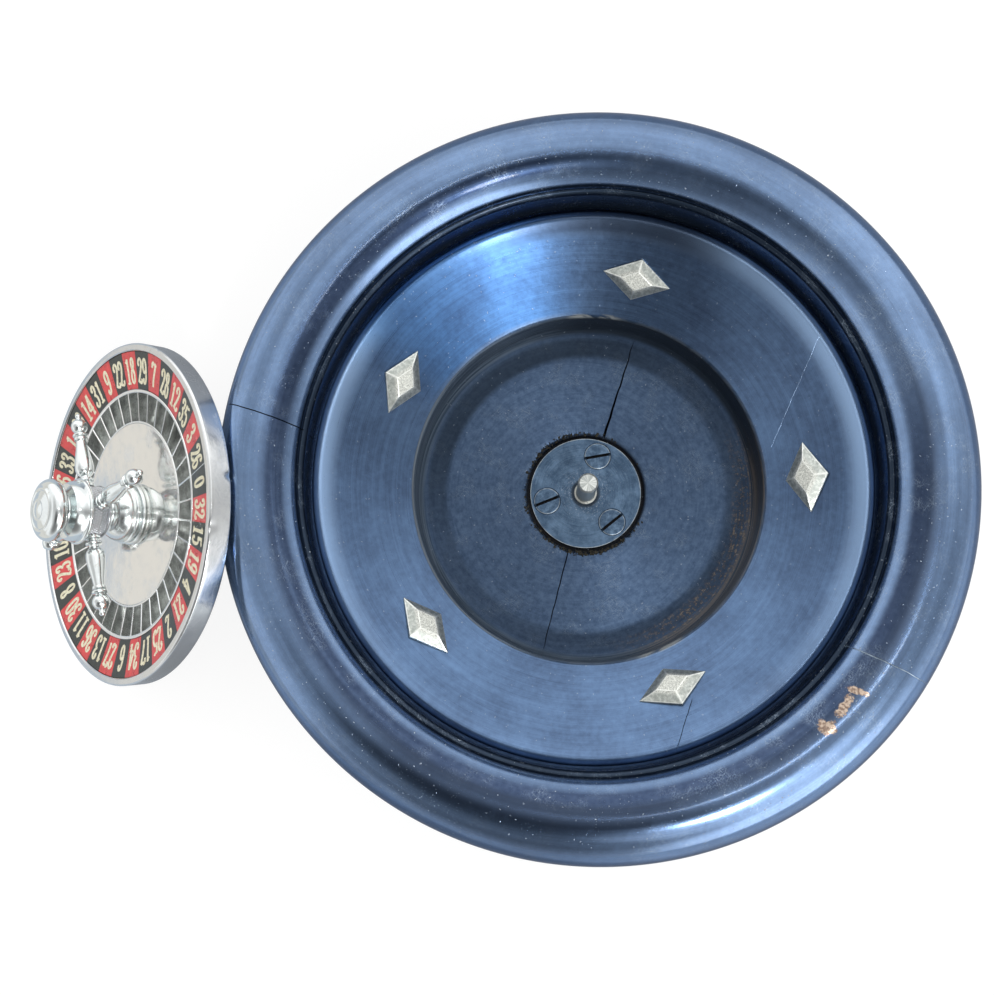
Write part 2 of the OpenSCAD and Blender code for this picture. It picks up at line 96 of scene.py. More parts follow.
# Parts of the rim painted darker as shade: the direction, its cosines where they begin and are full, how
# dark, and the radii
RIM_SHADES = (((0.26, -0.966), 0.1, 0.75, 0.4, (112.4, 114.2)),
              ((-0.26, -0.966), 0.72, 0.96, 0.85, (95.0, 98.0, 101.5, 107.5)),
              ((0.17, -0.985), 0.0, 0.6, 0.51, (94.5, 96.5, 100.0, 103.0)),
              ((-0.26, -0.966), 0.75, 0.95, 0.782, (95.0, 96.8, 100.0, 102.0)),
              ((0.97, -0.26), 0.8, 0.96, 0.527, (95.0, 96.8, 100.0, 102.0)),
              ((-0.97, -0.26), 0.85, 0.97, 0.357, (95.0, 96.8, 100.0, 102.0)),
              ((-0.42, -0.91), 0.85, 0.97, 0.34, (106.0, 108.0)),
              ((-0.2, 0.98), 0.45, 0.8, 0.34, (100.0, 102.5, 107.0, 110.5)),
              ((0.97, 0.24), 0.75, 0.97, 0.42, (112.2, 113.8)))

# Wheel head
HEAD_R = 56.1
BAND_H = 6.6
TAIL_R = 6.55
STUD_R = 2.05
RIM_STEP = 0.6
NUMBER_R = 53.5
HOOP_R = 41.4
POCKET_R = 40.15
INNER_R = 30.95
DISH_R = 30.25
NUMBER_FALL = 2.45
POCKET_S = -5.45
PLATE_TOP = -5.75
PLATFORM = -5.15
FRET_TOP = -2.45
DISH_TOP = -3.8
DISH_CENTRE = -4.3
POCKETS = 37
CELL = TAU / POCKETS
ZERO_ANGLE = radians(4.6)
ARM_S = 9.83
THRUST_S = 13.56
CUP_S = 13.06
NECK_S = 18.16
KNOB_S = 19.96
COLLAR_R = 8.4
ARM_REACH = 34.6
ARM_ANGLE = radians(13.6)
NUMBERS = (0, 32, 15, 19, 4, 21, 2, 25, 17, 34, 6, 27, 13, 36, 11, 30, 8, 23, 10, 5, 24, 16, 33, 1, 20, 14,
           31, 9, 22, 18, 29, 7, 28, 12, 35, 3, 26)


def cone_z(radius):
    return MOUTH_Z + (radius - MOUTH_R) * math.tan(CONE)


ROLL_Z = cone_z(SHOULDER_R) + 6.45
LIP_R = ROLL_C - ROLL_R * cos(LIP_ANGLE)
LIP_Z = ROLL_Z + ROLL_R * sin(LIP_ANGLE)
SEAT_Z = cone_z(SHOULDER_R) - 6.2


def head_frame():
    """The head's own frame, from the joint that it spins on."""
    spin = next(j for j in frame["joints"] if j["name"] == "head_spin")
    lean = math.atan2(-spin["axis"][0], spin["axis"][2])
    return Matrix.Translation(spin["pos_m"]) @ Matrix.Rotation(-lean, 4, "Y")


HEAD = head_frame()


# Meshes

def placed(name, data, place=None):
    """A new object of the scene."""
    obj = bpy.data.objects.new(name, data)
    bpy.context.scene.collection.objects.link(obj)
    if place is not None:
        obj.matrix_world = place
    return obj


def gathered(name, bm, place=None):
    """An object out of a finished bmesh."""
    mesh = bpy.data.meshes.new(name)
    bm.to_mesh(mesh)
    bm.free()
    return placed(name, mesh, place)


def mesh_object(name, points, faces, place=None, sharp=35):
    """A smooth-shaded object from points in mm."""
    mesh = bpy.data.meshes.new(name)
    mesh.from_pydata([Vector(p) * MM for p in points], [], faces)
    mesh.validate()
    mesh.shade_smooth()
    mesh.set_sharp_from_angle(angle=radians(sharp))
    return placed(name, mesh, place)


def radial(angle):
    """The directions outward and around, in the plane."""
    out = Vector((cos(angle), sin(angle)))
    return out, Vector((-out.y, out.x))


def about_z(angle):
    """A turn about Z, by an angle in degrees."""
    return Matrix.Rotation(radians(angle), 4, "Z")


def arc(x, z, radius, start, end, steps=8):
    """Points on an arc, with its angles in degrees."""
    angles = np.radians(np.linspace(start, end, steps + 1))
    return [(x + radius * cos(a), z + radius * sin(a)) for a in angles]


def eased(corners, closed=False, steps=4):
    """An outline whose corners (x, z, radius) are rounded; a plain (x, z) stays sharp, and so does an end."""
    out = []
    count = len(corners)
    for i, corner in enumerate(corners):
        here = Vector(corner[:2])
        radius = corner[2] if len(corner) > 2 and (closed or 0 < i < count - 1) else 0
        before = Vector(corners[i - 1][:2]) - here
        after = Vector(corners[(i + 1) % count][:2]) - here
        if not radius or before.length < 1e-6 or after.length < 1e-6:
            out.append(tuple(here))
            continue
        angle = before.angle(after)
        if angle > STRAIGHT:
            out.append(tuple(here))
            continue
        reach = min(radius / math.tan(angle / 2), 0.48 * before.length, 0.48 * after.length)
        a = here + before.normalized() * reach
        b = here + after.normalized() * reach
        for k in range(steps + 1):
            t = k / steps
            out.append(tuple((1 - t) ** 2 * a + 2 * t * (1 - t) * here + t * t * b))
    return out


def refined(outline, step):
    """The same outline with no side longer than step."""
    out = []
    for a, b in zip(outline, outline[1:] + outline[:1]):
        a, b = Vector(a), Vector(b)
        parts = max(1, math.ceil((b - a).length / step))
        out += [tuple(a + (b - a) * k / parts) for k in range(parts)]
    return out


def turned(name, outline, steps=256, place=None, sharp=35, shape=None):
    """Turn an outline of (radius, height) about Z. It is closed, unless both its ends lie on the axis.

    shape(radius, angle, height) moves the rings' points, as arrays, and gives the same three back.
    """
    profile = np.array(outline, float)
    open_ended = profile[0, 0] < 1e-6 and profile[-1, 0] < 1e-6
    ring = profile[1:-1] if open_ended else profile
    angles = np.arange(steps) * TAU / steps
    radius, angle = np.meshgrid(ring[:, 0], angles, indexing="ij")
    height = np.repeat(ring[:, 1][:, None], steps, axis=1)
    if shape:
        radius, angle, height = shape(radius, angle, height)
    points = np.stack([radius * np.cos(angle), radius * np.sin(angle), height], -1).reshape(-1, 3)
    rows = len(ring)
    faces = []
    for i in range(rows - 1 if open_ended else rows):
        a, b = i * steps, (i + 1) % rows * steps
        faces += [(a + k, a + (k + 1) % steps, b + (k + 1) % steps, b + k) for k in range(steps)]
    points = [tuple(p) for p in points]
    if open_ended:
        for end, row, flip in ((profile[0], 0, True), (profile[-1], rows - 1, False)):
            tip = len(points)
            points.append((0, 0, end[1]))
            a = row * steps
            for k in range(steps):
                side = (a + k, a + (k + 1) % steps, tip)
                faces.append(side[::-1] if flip else side)
    area = sum(a[0] * b[1] - b[0] * a[1] for a, b in zip(outline, outline[1:] + outline[:1]))
    if area < 0:
        faces = [f[::-1] for f in faces]
    return mesh_object(name, points, faces, place, sharp)


def joined(name, parts):
    """One object out of several that share a frame."""
    bm = bmesh.new()
    for part in parts:
        bm.from_mesh(part.data)
    whole = gathered(name, bm, parts[0].matrix_world.copy())
    for part in parts:
        bpy.data.objects.remove(part)
    return whole


def dressed(obj, material, body, slot, *nodes):
    """Give a piece its material, its body and the nodes that it stands for. The slot is not used."""
    obj.data.materials.clear()
    obj.data.materials.append(material)
    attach(obj, body)
    if nodes:
        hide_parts(*nodes)
    return obj


def head_piece(name, outline, steps, material, slot, node, sharp=35, shape=None):
    """A turned piece of the wheel head."""
    return dressed(turned(name, outline, steps, HEAD, sharp, shape), material, "wheel_head", slot, node)


def dressed_node(node, material):
    """Give a node of the model its material."""
    obj = frame["nodes"][node]
    obj.data.materials.clear()
    obj.data.materials.append(material)
    obj.data.shade_smooth()
    obj.data.set_sharp_from_angle(angle=radians(25))


def wavy(x, y=0.0, z=0.0):
    """Smooth noise from about -1 to 1."""
    return noise.noise(Vector((x, y, z)))


def crack(obj, start, end, width, depth, reach, wander=0.25, taper=0.0, pale=0.0):
    """Sink a narrow V into the upper surface of a turned piece, along the line between two points.

    reach(radius, height) says where the surface may be cut, and taper how much narrower the end is.
    A crack is painted dark inside it as shade, unless pale says how much of its broken edge shows lighter
    than the lacquer.
    """
    start, end = Vector((*start, 0)), Vector((*end, 0))
    along = (end - start).normalized()
    across = Vector((-along.y, along.x, 0))
    length = (end - start).length
    bm = bmesh.new()
    bm.from_mesh(obj.data)
    groove = bm.verts.layers.float.get("groove") or bm.verts.layers.float.new("groove")

    def near(point, spare):
        p = point / MM
        flat = Vector((p.x, p.y, 0)) - start
        inside = -spare < flat.dot(along) < length + spare
        return inside and abs(flat.dot(across)) < spare and reach(hypot(p.x, p.y), p.z)

    edge, slope = width / 2, width * 0.33
    for shift in (-edge, -slope, 0, slope, edge):
        faces = [f for f in bm.faces if near(f.calc_center_median(), 3)]
        edges = {e for f in faces for e in f.edges}
        verts = {v for f in faces for v in f.verts}
        bmesh.ops.bisect_plane(bm, geom=[*verts, *edges, *faces], dist=1e-7,
                               plane_co=(start + across * shift) * MM, plane_no=across)
    bm.normal_update()
    moves = []
    for v in bm.verts:
        if not near(v.co, 1):
            continue
        flat = Vector((v.co.x, v.co.y, 0)) / MM - start
        t, side = flat.dot(along), flat.dot(across)
        if not 0 <= t <= length or abs(side) > width * 0.51:
            continue
        fade = min(1, t / 2, (length - t) / 6)
        bend = wander * (wavy(t * 0.25, 7.3) + 0.5 * wavy(t * 0.9, 2.1))
        drift = across * (bend - side * taper * t / length)
        if abs(side) < width * 0.4:
            v[groove] = -fade * pale if pale else fade
            sink = depth * fade * (1 if abs(side) < width * 0.1 else 0.6)
            moves.append((v, (drift - v.normal * sink) * MM))
        else:
            moves.append((v, drift * MM))
    for v, move in moves:
        v.co += move
    bm.to_mesh(obj.data)
    bm.free()
    obj.data.set_sharp_from_angle(angle=radians(35))


# Materials

def reckons(operation):
    """A method of Value that adds the node for one sign of arithmetic."""
    return lambda value, other: value.sh.math(operation, value, other)


class Value:
    """What a node gives. Arithmetic on it adds the nodes that work it out."""

    __add__ = __radd__ = reckons("ADD")
    __mul__ = reckons("MULTIPLY")
    __sub__ = reckons("SUBTRACT")
    __truediv__ = reckons("DIVIDE")

    def __init__(self, sh, socket):
        self.sh = sh
        self.socket = socket

    def __rsub__(self, other):
        return self.sh.math("SUBTRACT", other, self)

    def __abs__(self):
        return self.sh.math("ABSOLUTE", self)

    def ramp(self, low, high, start=0.0, end=1.0):
        """A soft step, from start at low to end at high."""
        limits = {"Value": self, "From Min": low, "From Max": high, "To Min": start, "To Max": end}
        return self.sh.node("MapRange", limits, interpolation_type="SMOOTHSTEP")

    def band(self, low, full, last, gone):
        """1 between full and last, and 0 below low and above gone."""
        return self.ramp(low, full) * self.ramp(gone, last)

    def facing(self, x, y, z=0.0):
        """How much of a direction points the way of (x, y, z)."""
        return self.sh.vector("DOT_PRODUCT", self, (x, y, z), output="Value")


class Shader:
    """The nodes of a material, or of the world, with one short call for each kind."""

    def __init__(self, name, owner=None):
        self.owner = owner or bpy.data.materials.new(name)
        self.owner.use_nodes = True
        self.tree = self.owner.node_tree
        self.tree.nodes.clear()

    def put(self, socket, value):
        if isinstance(value, Value):
            self.tree.links.new(value.socket, socket)
        elif socket.type == "RGBA":
            socket.default_value = (*value[:3], 1)
        else:
            socket.default_value = value

    def node(self, kind, values, output=0, **settings):
        node = self.tree.nodes.new("ShaderNode" + kind)
        for key, value in settings.items():
            setattr(node, key, value)
        for key, value in values.items():
            self.put(node.inputs[key], value)
        return Value(self, node.outputs[output]) if node.outputs else None

    def math(self, operation, *values):
        return self.node("Math", dict(enumerate(values)), operation=operation)

    def most(self, first, *others):
        for other in others:
            first = self.math("MAXIMUM", first, other)
        return first

    def least(self, first, *others):
        for other in others:
            first = self.math("MINIMUM", first, other)
        return first

    def vector(self, operation, *values, output=0):
        return self.node("VectorMath", dict(enumerate(values)), output, operation=operation)

    def scaled(self, vector, factor):
        return self.node("VectorMath", {0: vector, "Scale": factor}, operation="SCALE")

    def parts(self, vector):
        split = self.tree.nodes.new("ShaderNodeSeparateXYZ")
        self.put(split.inputs[0], vector)
        return [Value(self, socket) for socket in split.outputs]

    def joined(self, x, y, z):
        return self.node("CombineXYZ", {0: x, 1: y, 2: z})

    def mix(self, share, a, b, kind="MIX"):
        return self.node("Mix", {0: share, 6: a, 7: b}, 2, data_type="RGBA", blend_type=kind)

    def noise(self, vector, scale, detail=3.0, rough=0.55):
        return self.node("TexNoise", {"Vector": vector, "Scale": scale, "Detail": detail, "Roughness": rough})

    def cells(self, vector, scale, output="Distance", feature="F1"):
        return self.node("TexVoronoi", {"Vector": vector, "Scale": scale}, output, feature=feature)

    def bump(self, height, depth, normal=None):
        """Height from 0 to 1 stands for depth, in mm."""
        values = {"Height": height, "Distance": depth * MM, "Strength": 1.0}
        if normal is not None:
            values["Normal"] = normal
        return self.node("Bump", values)

    def about_axis(self, point):
        """Radius, height, and the direction away from the axis."""
        x, y, z = self.parts(point)
        flat = self.joined(x, y, 0.0)
        radius = self.vector("LENGTH", flat, output="Value")
        return radius, z, self.vector("NORMALIZE", flat)

    def rings(self, point, fine, arcs=1.5, detail=3.0):
        """Noise drawn out into rings about the axis: fine is in rings for each mm."""
        radius, z, way = self.about_axis(point)
        across = self.joined(radius * fine, z * fine, 0.0)
        return self.noise(self.vector("ADD", across, self.scaled(way, arcs)), 1.0, detail)

    def shown(self):
        """1 where the camera sees the surface or the sky itself, also through glass."""
        return self.most(self.node("LightPath", {}, "Is Camera Ray"),
                         self.node("LightPath", {}, "Is Transmission Ray"))

    def finish(self, normal, colour, metal, roughness, **others):
        """The surface itself. The names of the others are the shader's sockets, with _ for a space."""
        sockets = {key.replace("_", " "): value for key, value in others.items()}
        sockets.update({"Normal": normal, "Base Color": colour, "Metallic": metal, "Roughness": roughness})
        self.node("OutputMaterial", {"Surface": self.node("BsdfPrincipled", sockets)})
        return self.owner


def shader(name):
    """The shader of a new material, and the point in the piece's own frame, in millimetres."""
    sh = Shader(name)
    return sh, sh.scaled(sh.node("TexCoord", {}, "Object"), 1 / MM)


def scratches(sh, point, scale, turn, thin=0.018):
    """Straight hairlines in one direction."""
    rolled = sh.node("VectorRotate", {"Vector": point, "Angle": turn}, rotation_type="Z_AXIS")
    x, y, z = sh.parts(rolled)
    bent = y + sh.noise(point, 0.12, 2.0) * 1.5
    line = sh.joined(x * (0.16 * scale), bent * scale, z)
    edge = sh.cells(line, 1.0, feature="DISTANCE_TO_EDGE")
    return edge.ramp(thin, 0.0) * sh.noise(point, 0.09, 2.0).ramp(0.5, 0.62)


def worn_well(sh, point, mottle, colour, metal, roughness):
    """What age did to the bowl inside its track, with shade and highlights painted into its colour.

    The wall is brown and rusty, and painted darker toward +X+Y as shade. The floor is bare and nicked, the
    cove is painted dark as shade, the gap round the plate is painted black as shade, and the mouth is
    chipped, with a painted highlight along its edge toward -X. On the cone above, the bright fan of reflected
    light is painted a deeper blue, its shoulder has a painted light band, and it is painted darker toward +Y.
    It gives colour, metal and roughness, and a value that is 1 in the well.
    """
    radius, z, way = sh.about_axis(point)
    inner = radius.ramp(MOUTH_R + 0.3, MOUTH_R - 0.8)
    grime = sh.rings(point, 1.3, 3.0, 5.0)
    rusty_side = way.facing(0.85, -0.53).ramp(0.55, 0.95)

    wall = inner * radius.ramp(54.8, 57.4)
    brown = sh.mix(grime.ramp(0.34, 0.66), (0.034, 0.05, 0.068), (0.13, 0.165, 0.205))
    # Painted shade: the wall toward +X+Y is darkened, as in shadow.
    brown = sh.mix(way.facing(0.7, 0.714).ramp(0.35, 0.8) * 0.9, brown, (0.012, 0.015, 0.017))
    brown = sh.mix(rusty_side * grime.ramp(0.44, 0.58) * 0.5, brown, (0.24, 0.17, 0.1))
    colour = sh.mix(wall * 0.92, colour, brown)

    floor = inner * radius.ramp(57.4, 55.0)
    grain = mottle * 0.65 + sh.rings(point, 1.1, 4.5, 6.0) * 0.35
    bare = sh.mix(grain.ramp(0.32, 0.68), (0.042, 0.069, 0.122), (0.084, 0.128, 0.206))
    colour = sh.mix(floor * 0.9, colour, bare)
    nicks = floor * sh.most(scratches(sh, point, 1.5, 0.7, 0.03), scratches(sh, point, 1.9, 2.4, 0.03))
    colour = sh.mix(nicks * 0.45, colour, (0.22, 0.27, 0.32))

    # Painted shade: the cove is darkened, most toward -X+Y.
    cove = radius.band(47.5, 50.5, 54.0, 58.0)
    far = way.facing(-0.5, 0.87).ramp(0.2, 0.9)
    colour = sh.mix(cove * (0.3 + far * 0.4), colour, (0.016, 0.024, 0.035))
    blotch = sh.noise(point, 0.75, 6.0, 0.8) * 0.7 + grime * 0.3
    rust = rusty_side * radius.band(50.0, 53.5, 56.4, 57.8) * blotch.ramp(0.44, 0.6)
    colour = sh.mix(rust * 0.75, colour,
                    sh.mix(blotch.ramp(0.5, 0.62), (0.06, 0.05, 0.04), (0.3, 0.24, 0.17)))

    # Painted highlight: a light band on the cone's shoulder, strongest on the +Y side and weaker where the
    # fan is.
    fan = way.facing(-0.47, 0.883)
    lit = way.facing(0.1, 0.995).ramp(-1.0, 0.3, 0.03, 1.0) * fan.ramp(0.88, 0.97, 1.0, 0.1)
    colour = sh.mix(radius.band(79.5, 85.5, 87.4, 88.5) * lit, colour, (0.32, 0.48, 0.74))
    # Painted shade: where the reflected light spreads in a fan toward -X+Y, the colour is darkened to a
    # deeper blue.
    fan = fan.ramp(0.82, 0.985) * radius.ramp(MOUTH_R, MOUTH_R + 1.5)
    colour = sh.mix(fan, colour, (0.47, 0.73, 0.93), "MULTIPLY")
    # Painted shade: the cone's outer part toward +Y is darkened.
    dim = way.facing(0.17, 0.985).ramp(0.86, 0.985) * radius.ramp(79.5, 83.0)
    colour = sh.mix(dim * 0.85, colour, (0.02, 0.034, 0.07))

    edge = 1.0 - sh.least(1.0, abs(radius - (MOUTH_R - 0.3)) / 0.75)
    knocked = sh.most(way.facing(0.11, 0.994).ramp(0.985, 0.997), way.facing(0.34, -0.94).ramp(0.987, 0.998))
    chips = edge * sh.rings(point, 0.4, 9.0, 5.0).ramp(0.42, 0.56)
    chips *= z.ramp(MOUTH_Z - 2.5, MOUTH_Z - 0.7) * (0.12 + knocked)
    # Painted highlight: a pale line along the mouth's edge toward -X, added to the bare chips.
    mouth_glint = edge.ramp(0.5, 0.85) * way.facing(-0.98, -0.19).ramp(0.35, 0.85, 0.0, 0.55)
    mouth_glint *= z.ramp(MOUTH_Z - 1.2, MOUTH_Z - 0.3)
    colour = sh.mix(sh.most(chips, mouth_glint), colour, (0.36, 0.38, 0.37))

    # Painted shade: the gap round the bearing plate is painted near black.
    gap = radius.ramp(GAP_R + 0.9, GAP_R - 0.3)
    colour = sh.mix(gap, colour, (0.012, 0.009, 0.006))
    metal = (metal - wall * 0.6 - sh.most(cove, rust) * 0.3) * (1.0 - gap)
    return colour, metal, roughness + inner * 0.16 + cove * 0.2, inner


def worn_rim(sh, point, mottle, broad, stray, colour, roughness):
    """What age did to the rolled rim, and the shade painted on it: an inner flank that is duller and painted
    darker as shade, the ball track under the lip painted black as shadow, painted shade on parts of the roll
    and by the head, hairs, and knocks down to the wood.

    It gives colour and roughness, and a value that says where the lacquer has lost its gloss.
    """
    radius, z, way = sh.about_axis(point)
    # Painted shade: the inner flank is darkened, least toward +X+Y and most toward +Y, besides being duller.
    flank = radius.band(90.9, 93.2, 95.5, 100.0) * z.ramp(LIP_Z - 0.2, LIP_Z + 0.6)
    flank *= broad.ramp(0.15, 0.6, 0.75, 1.0) * (1.0 - way.facing(0.707, 0.707).ramp(0.6, 1.0) * 0.7)
    dark = sh.mix(mottle.ramp(0.2, 0.95), (0.026, 0.044, 0.092), (0.06, 0.09, 0.16))
    dark = sh.mix(way.facing(-0.26, 0.966).ramp(0.75, 0.95), dark, (0.4, 0.45, 0.5), "MULTIPLY")
    colour = sh.mix(flank, colour, dark)
    # Painted shadow: the ball track under the lip is painted near black.
    track = radius.ramp(LIP_R + 0.9, LIP_R + 0.3)
    colour = sh.mix(track * 0.9, colour, (0.006, 0.01, 0.016))

    hairs = sh.most(scratches(sh, point, 1.3, 0.9, 0.03), scratches(sh, point, 1.7, 2.2, 0.03))
    bits = sh.cells(sh.vector("ADD", point, sh.scaled(stray, 1.6)), 1.1).ramp(0.16, 0.06)
    bits *= sh.noise(point, 0.1, 3.0).ramp(0.5, 0.6)
    hairs = sh.most(hairs, bits) * way.facing(0.9, -0.43).ramp(0.2, 0.9, 0.6, 1.0)
    colour = sh.mix(hairs * 0.55, colour, (0.4, 0.5, 0.62))

    # Painted shade on parts of the roll, as listed in RIM_SHADES.
    shade = 0.0
    for (x, y), low, high, most, across in RIM_SHADES:
        part = way.facing(x, y).ramp(low, high, 0.0, most)
        part *= radius.band(*across) if len(across) == 4 else radius.ramp(*across)
        shade = sh.most(part, shade)
    # Painted shade where the head leans on the rim, toward -X.
    near_head = way.facing(-1.0, 0.0).ramp(0.955, 0.985) * radius.ramp(110.5, 113.5)
    colour = sh.mix(sh.most(shade, near_head * 0.9), colour, (0.02, 0.032, 0.06))

    tan = 0.0
    for spot, turn, long, wide in RIM_KNOCKS:
        away = sh.node("VectorRotate", {"Vector": sh.vector("SUBTRACT", point, spot),
                                        "Angle": -radians(turn)}, rotation_type="Z_AXIS")
        away = sh.vector("LENGTH", sh.vector("DIVIDE", away, (long, wide, long)), output="Value")
        tan = sh.most((away + (mottle - 0.5) * 2.6).ramp(1.05, 0.8), tan)
    bits = sh.noise(point, 1.1, 4.0, 0.6)
    colour = sh.mix(tan, colour, sh.mix(bits.ramp(0.4, 0.6), (0.25, 0.17, 0.13), (0.54, 0.43, 0.34)))
    return colour, roughness + flank * 0.08 + track * 0.15, sh.most(flank, track, shade, near_head)


def lacquer(name, deep, light, rough, specks, well=False):
    """Black lacquer with a steel-blue sheen, turning marks and dust specks.

    The bowl's coat is satin, with worn wood in the well. The rim's is glossier, but dull on its inner flank.
    Both have shade painted into their colour, and the bowl painted highlights too.
    """
    sh, point = shader(name)
    fine = sh.rings(point, 4.0, 2.2)
    broad = sh.rings(point, 0.7, 1.2)
    clouds = sh.noise(point, 0.035, 4.0, 0.6)
    mottle = sh.noise(point, 0.5, 5.0, 0.7)
    share = fine * 0.2 + broad * 0.22 + clouds * 0.55 + mottle * 0.29
    colour = sh.mix(share.ramp(0.36, 0.92), deep, light)
    metal = clouds.ramp(0.2, 0.8, 0.86, 0.94)
    rub = sh.noise(point, 0.18, 5.0, 0.7).ramp(0.5, 0.75)
    roughness = fine * 0.1 + rub * 0.08 + (rough - 0.08)

    stray = sh.scaled(sh.node("TexNoise", {"Vector": point, "Scale": 1.1}, "Color"), 1.2)
    strayed = sh.vector("ADD", point, stray)
    grid = 0.42 if well else 0.62
    fleck = sh.cells(strayed, grid).ramp(0.13, 0.05) * sh.cells(point, grid, "Color").ramp(0.3, 0.55) * specks
    if well:
        colour, metal, roughness, inner = worn_well(sh, point, mottle, colour, metal, roughness)
    else:
        colour, roughness, dull = worn_rim(sh, point, mottle, broad, stray, colour, roughness)
        motes = sh.cells(strayed, 1.5).ramp(0.13, 0.05) * sh.noise(point, 0.07, 3.0).ramp(0.47, 0.6)
        fleck = sh.most(fleck, motes * 0.8)
    colour = sh.mix(fleck, colour, (0.42, 0.48, 0.55))
    # Cracks are painted near black inside, as shade; pale cracks show a lighter broken edge instead.
    groove = sh.node("Attribute", {}, "Fac", attribute_name="groove")
    colour = sh.mix(sh.most(groove, 0.0), colour, (0.004, 0.005, 0.007))
    colour = sh.mix(sh.most(groove * -0.75, 0.0), colour, (0.42, 0.5, 0.56))
    metal *= 1.0 - fleck * 0.8

    normal = sh.bump(sh.rings(point, 2.2, 2.0, 4.0), 0.011 if well else 0.006)
    normal = sh.bump(mottle, 0.025 if well else 0.01, normal)
    if well:
        normal = sh.bump(inner * sh.noise(point, 0.42, 3.0, 0.55), 0.09, normal)
        gloss = {"Coat_Weight": (1.0 - inner) * 0.35, "Coat_Roughness": 0.2, "Anisotropic": 0.6,
                 "Anisotropic_Rotation": 0.25,
                 "Tangent": sh.node("Tangent", {}, direction_type="RADIAL", axis="Z")}
    else:
        gloss = {"Coat_Weight": 0.75 - dull * 0.6, "Coat_Roughness": 0.05}
    normal = sh.bump(fleck, 0.05, normal)
    return sh.finish(normal, colour, metal, roughness, Specular_Tint=(0.3, 0.37, 0.5), **gloss)


def polished(name, colour, rough, grime, hair, wave, band=False):
    """Nickel plate: a mirror with hairlines, faint waves, dull patches and dirt.

    The band of the pan also has turning marks, and is a little tan but for the side toward X.
    """
    sh, point = shader(name)
    dull = sh.noise(point, 0.22, 5.0, 0.65).ramp(0.45, 0.8)
    stain = sh.noise(sh.vector("ADD", point, (31.0, 7.0, 3.0)), 0.45, 6.0, 0.7).ramp(0.56, 0.74)
    hairs = [scratches(sh, point, scale, turn) for scale, turn in ((1.6, 0.5), (2.1, 2.0), (1.2, 1.2))]
    hairs = sh.most(*hairs) * hair
    base = sh.mix(stain * grime, colour, tuple(c * f for c, f in zip(colour, (0.62, 0.58, 0.5))))
    base = sh.mix(dull * 0.25, base, tuple(c * 0.8 for c in colour))
    normal = sh.bump(sh.noise(point, 0.25, 2.0), wave)
    normal = sh.bump(hairs, 0.012, normal)
    if band:
        normal = sh.bump(sh.rings(point, 3.5, 1.2, 3.0), 0.008, normal)
        _, z, way = sh.about_axis(point)
        tan = way.facing(1.0, 0.0).ramp(0.93, 0.35) * z.ramp(0.3, -0.8)
        base = sh.mix(tan * 0.5, base, (0.42, 0.39, 0.33))
    return sh.finish(normal, base, 1.0, dull * 0.1 + rough + hairs * 0.25)


def enamel(name, colour, worn, coat):
    """Brushed-on enamel on metal: uneven, with spots worn by rubbing."""
    sh, point = shader(name)
    uneven = sh.noise(point, 0.35, 5.0, 0.65)
    base = sh.mix(uneven.ramp(0.3, 0.75), tuple(c * 0.7 for c in colour), colour)
    rub = sh.noise(sh.vector("ADD", point, (11.0, 5.0, 9.0)), 0.9, 6.0, 0.75).ramp(0.64, 0.72)
    base = sh.mix(rub * 0.6, base, worn)
    return sh.finish(sh.bump(sh.noise(point, 1.4, 3.0), 0.03), base, 0.0,
                     uneven.ramp(0.2, 0.8, 0.22, 0.42), Coat_Weight=coat, Coat_Roughness=0.12)


def dull_metal(name, light, dark, rough):
    """Metal that has gone dull: stained, grainy and rough."""
    sh, point = shader(name)
    stain = sh.noise(point, 0.3, 6.0, 0.7)
    fine = sh.noise(point, 2.4, 4.0, 0.7)
    share = stain * 0.65 + fine * 0.4
    return sh.finish(sh.bump(fine, 0.03), sh.mix(share.ramp(0.35, 0.7), dark, light), 0.9,
                     stain.ramp(0.3, 0.8, rough + 0.12, rough))


def plate_metal():
    """The bearing plate: blue-grey steel with faint turning marks and stains, a painted highlight on its
    edge, and painted shade round the pin and down its side.
    """
    sh, point = shader("plate_metal")
    radius, z, _ = sh.about_axis(point)
    stain = sh.noise(point, 0.16, 6.0, 0.7)
    marks = sh.rings(point, 2.5, 3.0, 4.0)
    share = stain * 0.7 + marks * 0.3
    colour = sh.mix(share.ramp(0.35, 0.68), (0.044, 0.08, 0.135), (0.118, 0.188, 0.285))
    specks = sh.noise(point, 1.5, 7.0, 0.85).ramp(0.54, 0.66) * (0.15 + radius.ramp(11.5, 4.5) * 0.85)
    colour = sh.mix(specks, colour, (0.5, 0.54, 0.6))
    # Painted shade: a dark ring round the pin's collar.
    colour = sh.mix(radius.ramp(5.6, 4.6) * 0.8, colour, (0.02, 0.024, 0.03))
    # Painted highlight: a pale line along the plate's top edge.
    edge = radius.ramp(PLATE_R - 0.3, PLATE_R - 0.08) * z.ramp(FLOOR_Z - 1.0, FLOOR_Z - 0.2)
    edge *= sh.noise(point, 0.35, 3.0).ramp(0.35, 0.6, 0.25, 0.9)
    colour = sh.mix(edge, colour, (0.42, 0.47, 0.5))
    # Painted shade: the plate's side is darkened downward, in the gap.
    colour = sh.mix(z.ramp(FLOOR_Z - 0.1, FLOOR_Z - 1.9), colour, (0.02, 0.02, 0.022))
    normal = sh.bump(sh.noise(point, 1.2, 5.0, 0.7), 0.04, sh.bump(marks, 0.02))
    return sh.finish(normal, colour, 0.9, stain.ramp(0.3, 0.8, 0.5, 0.36))


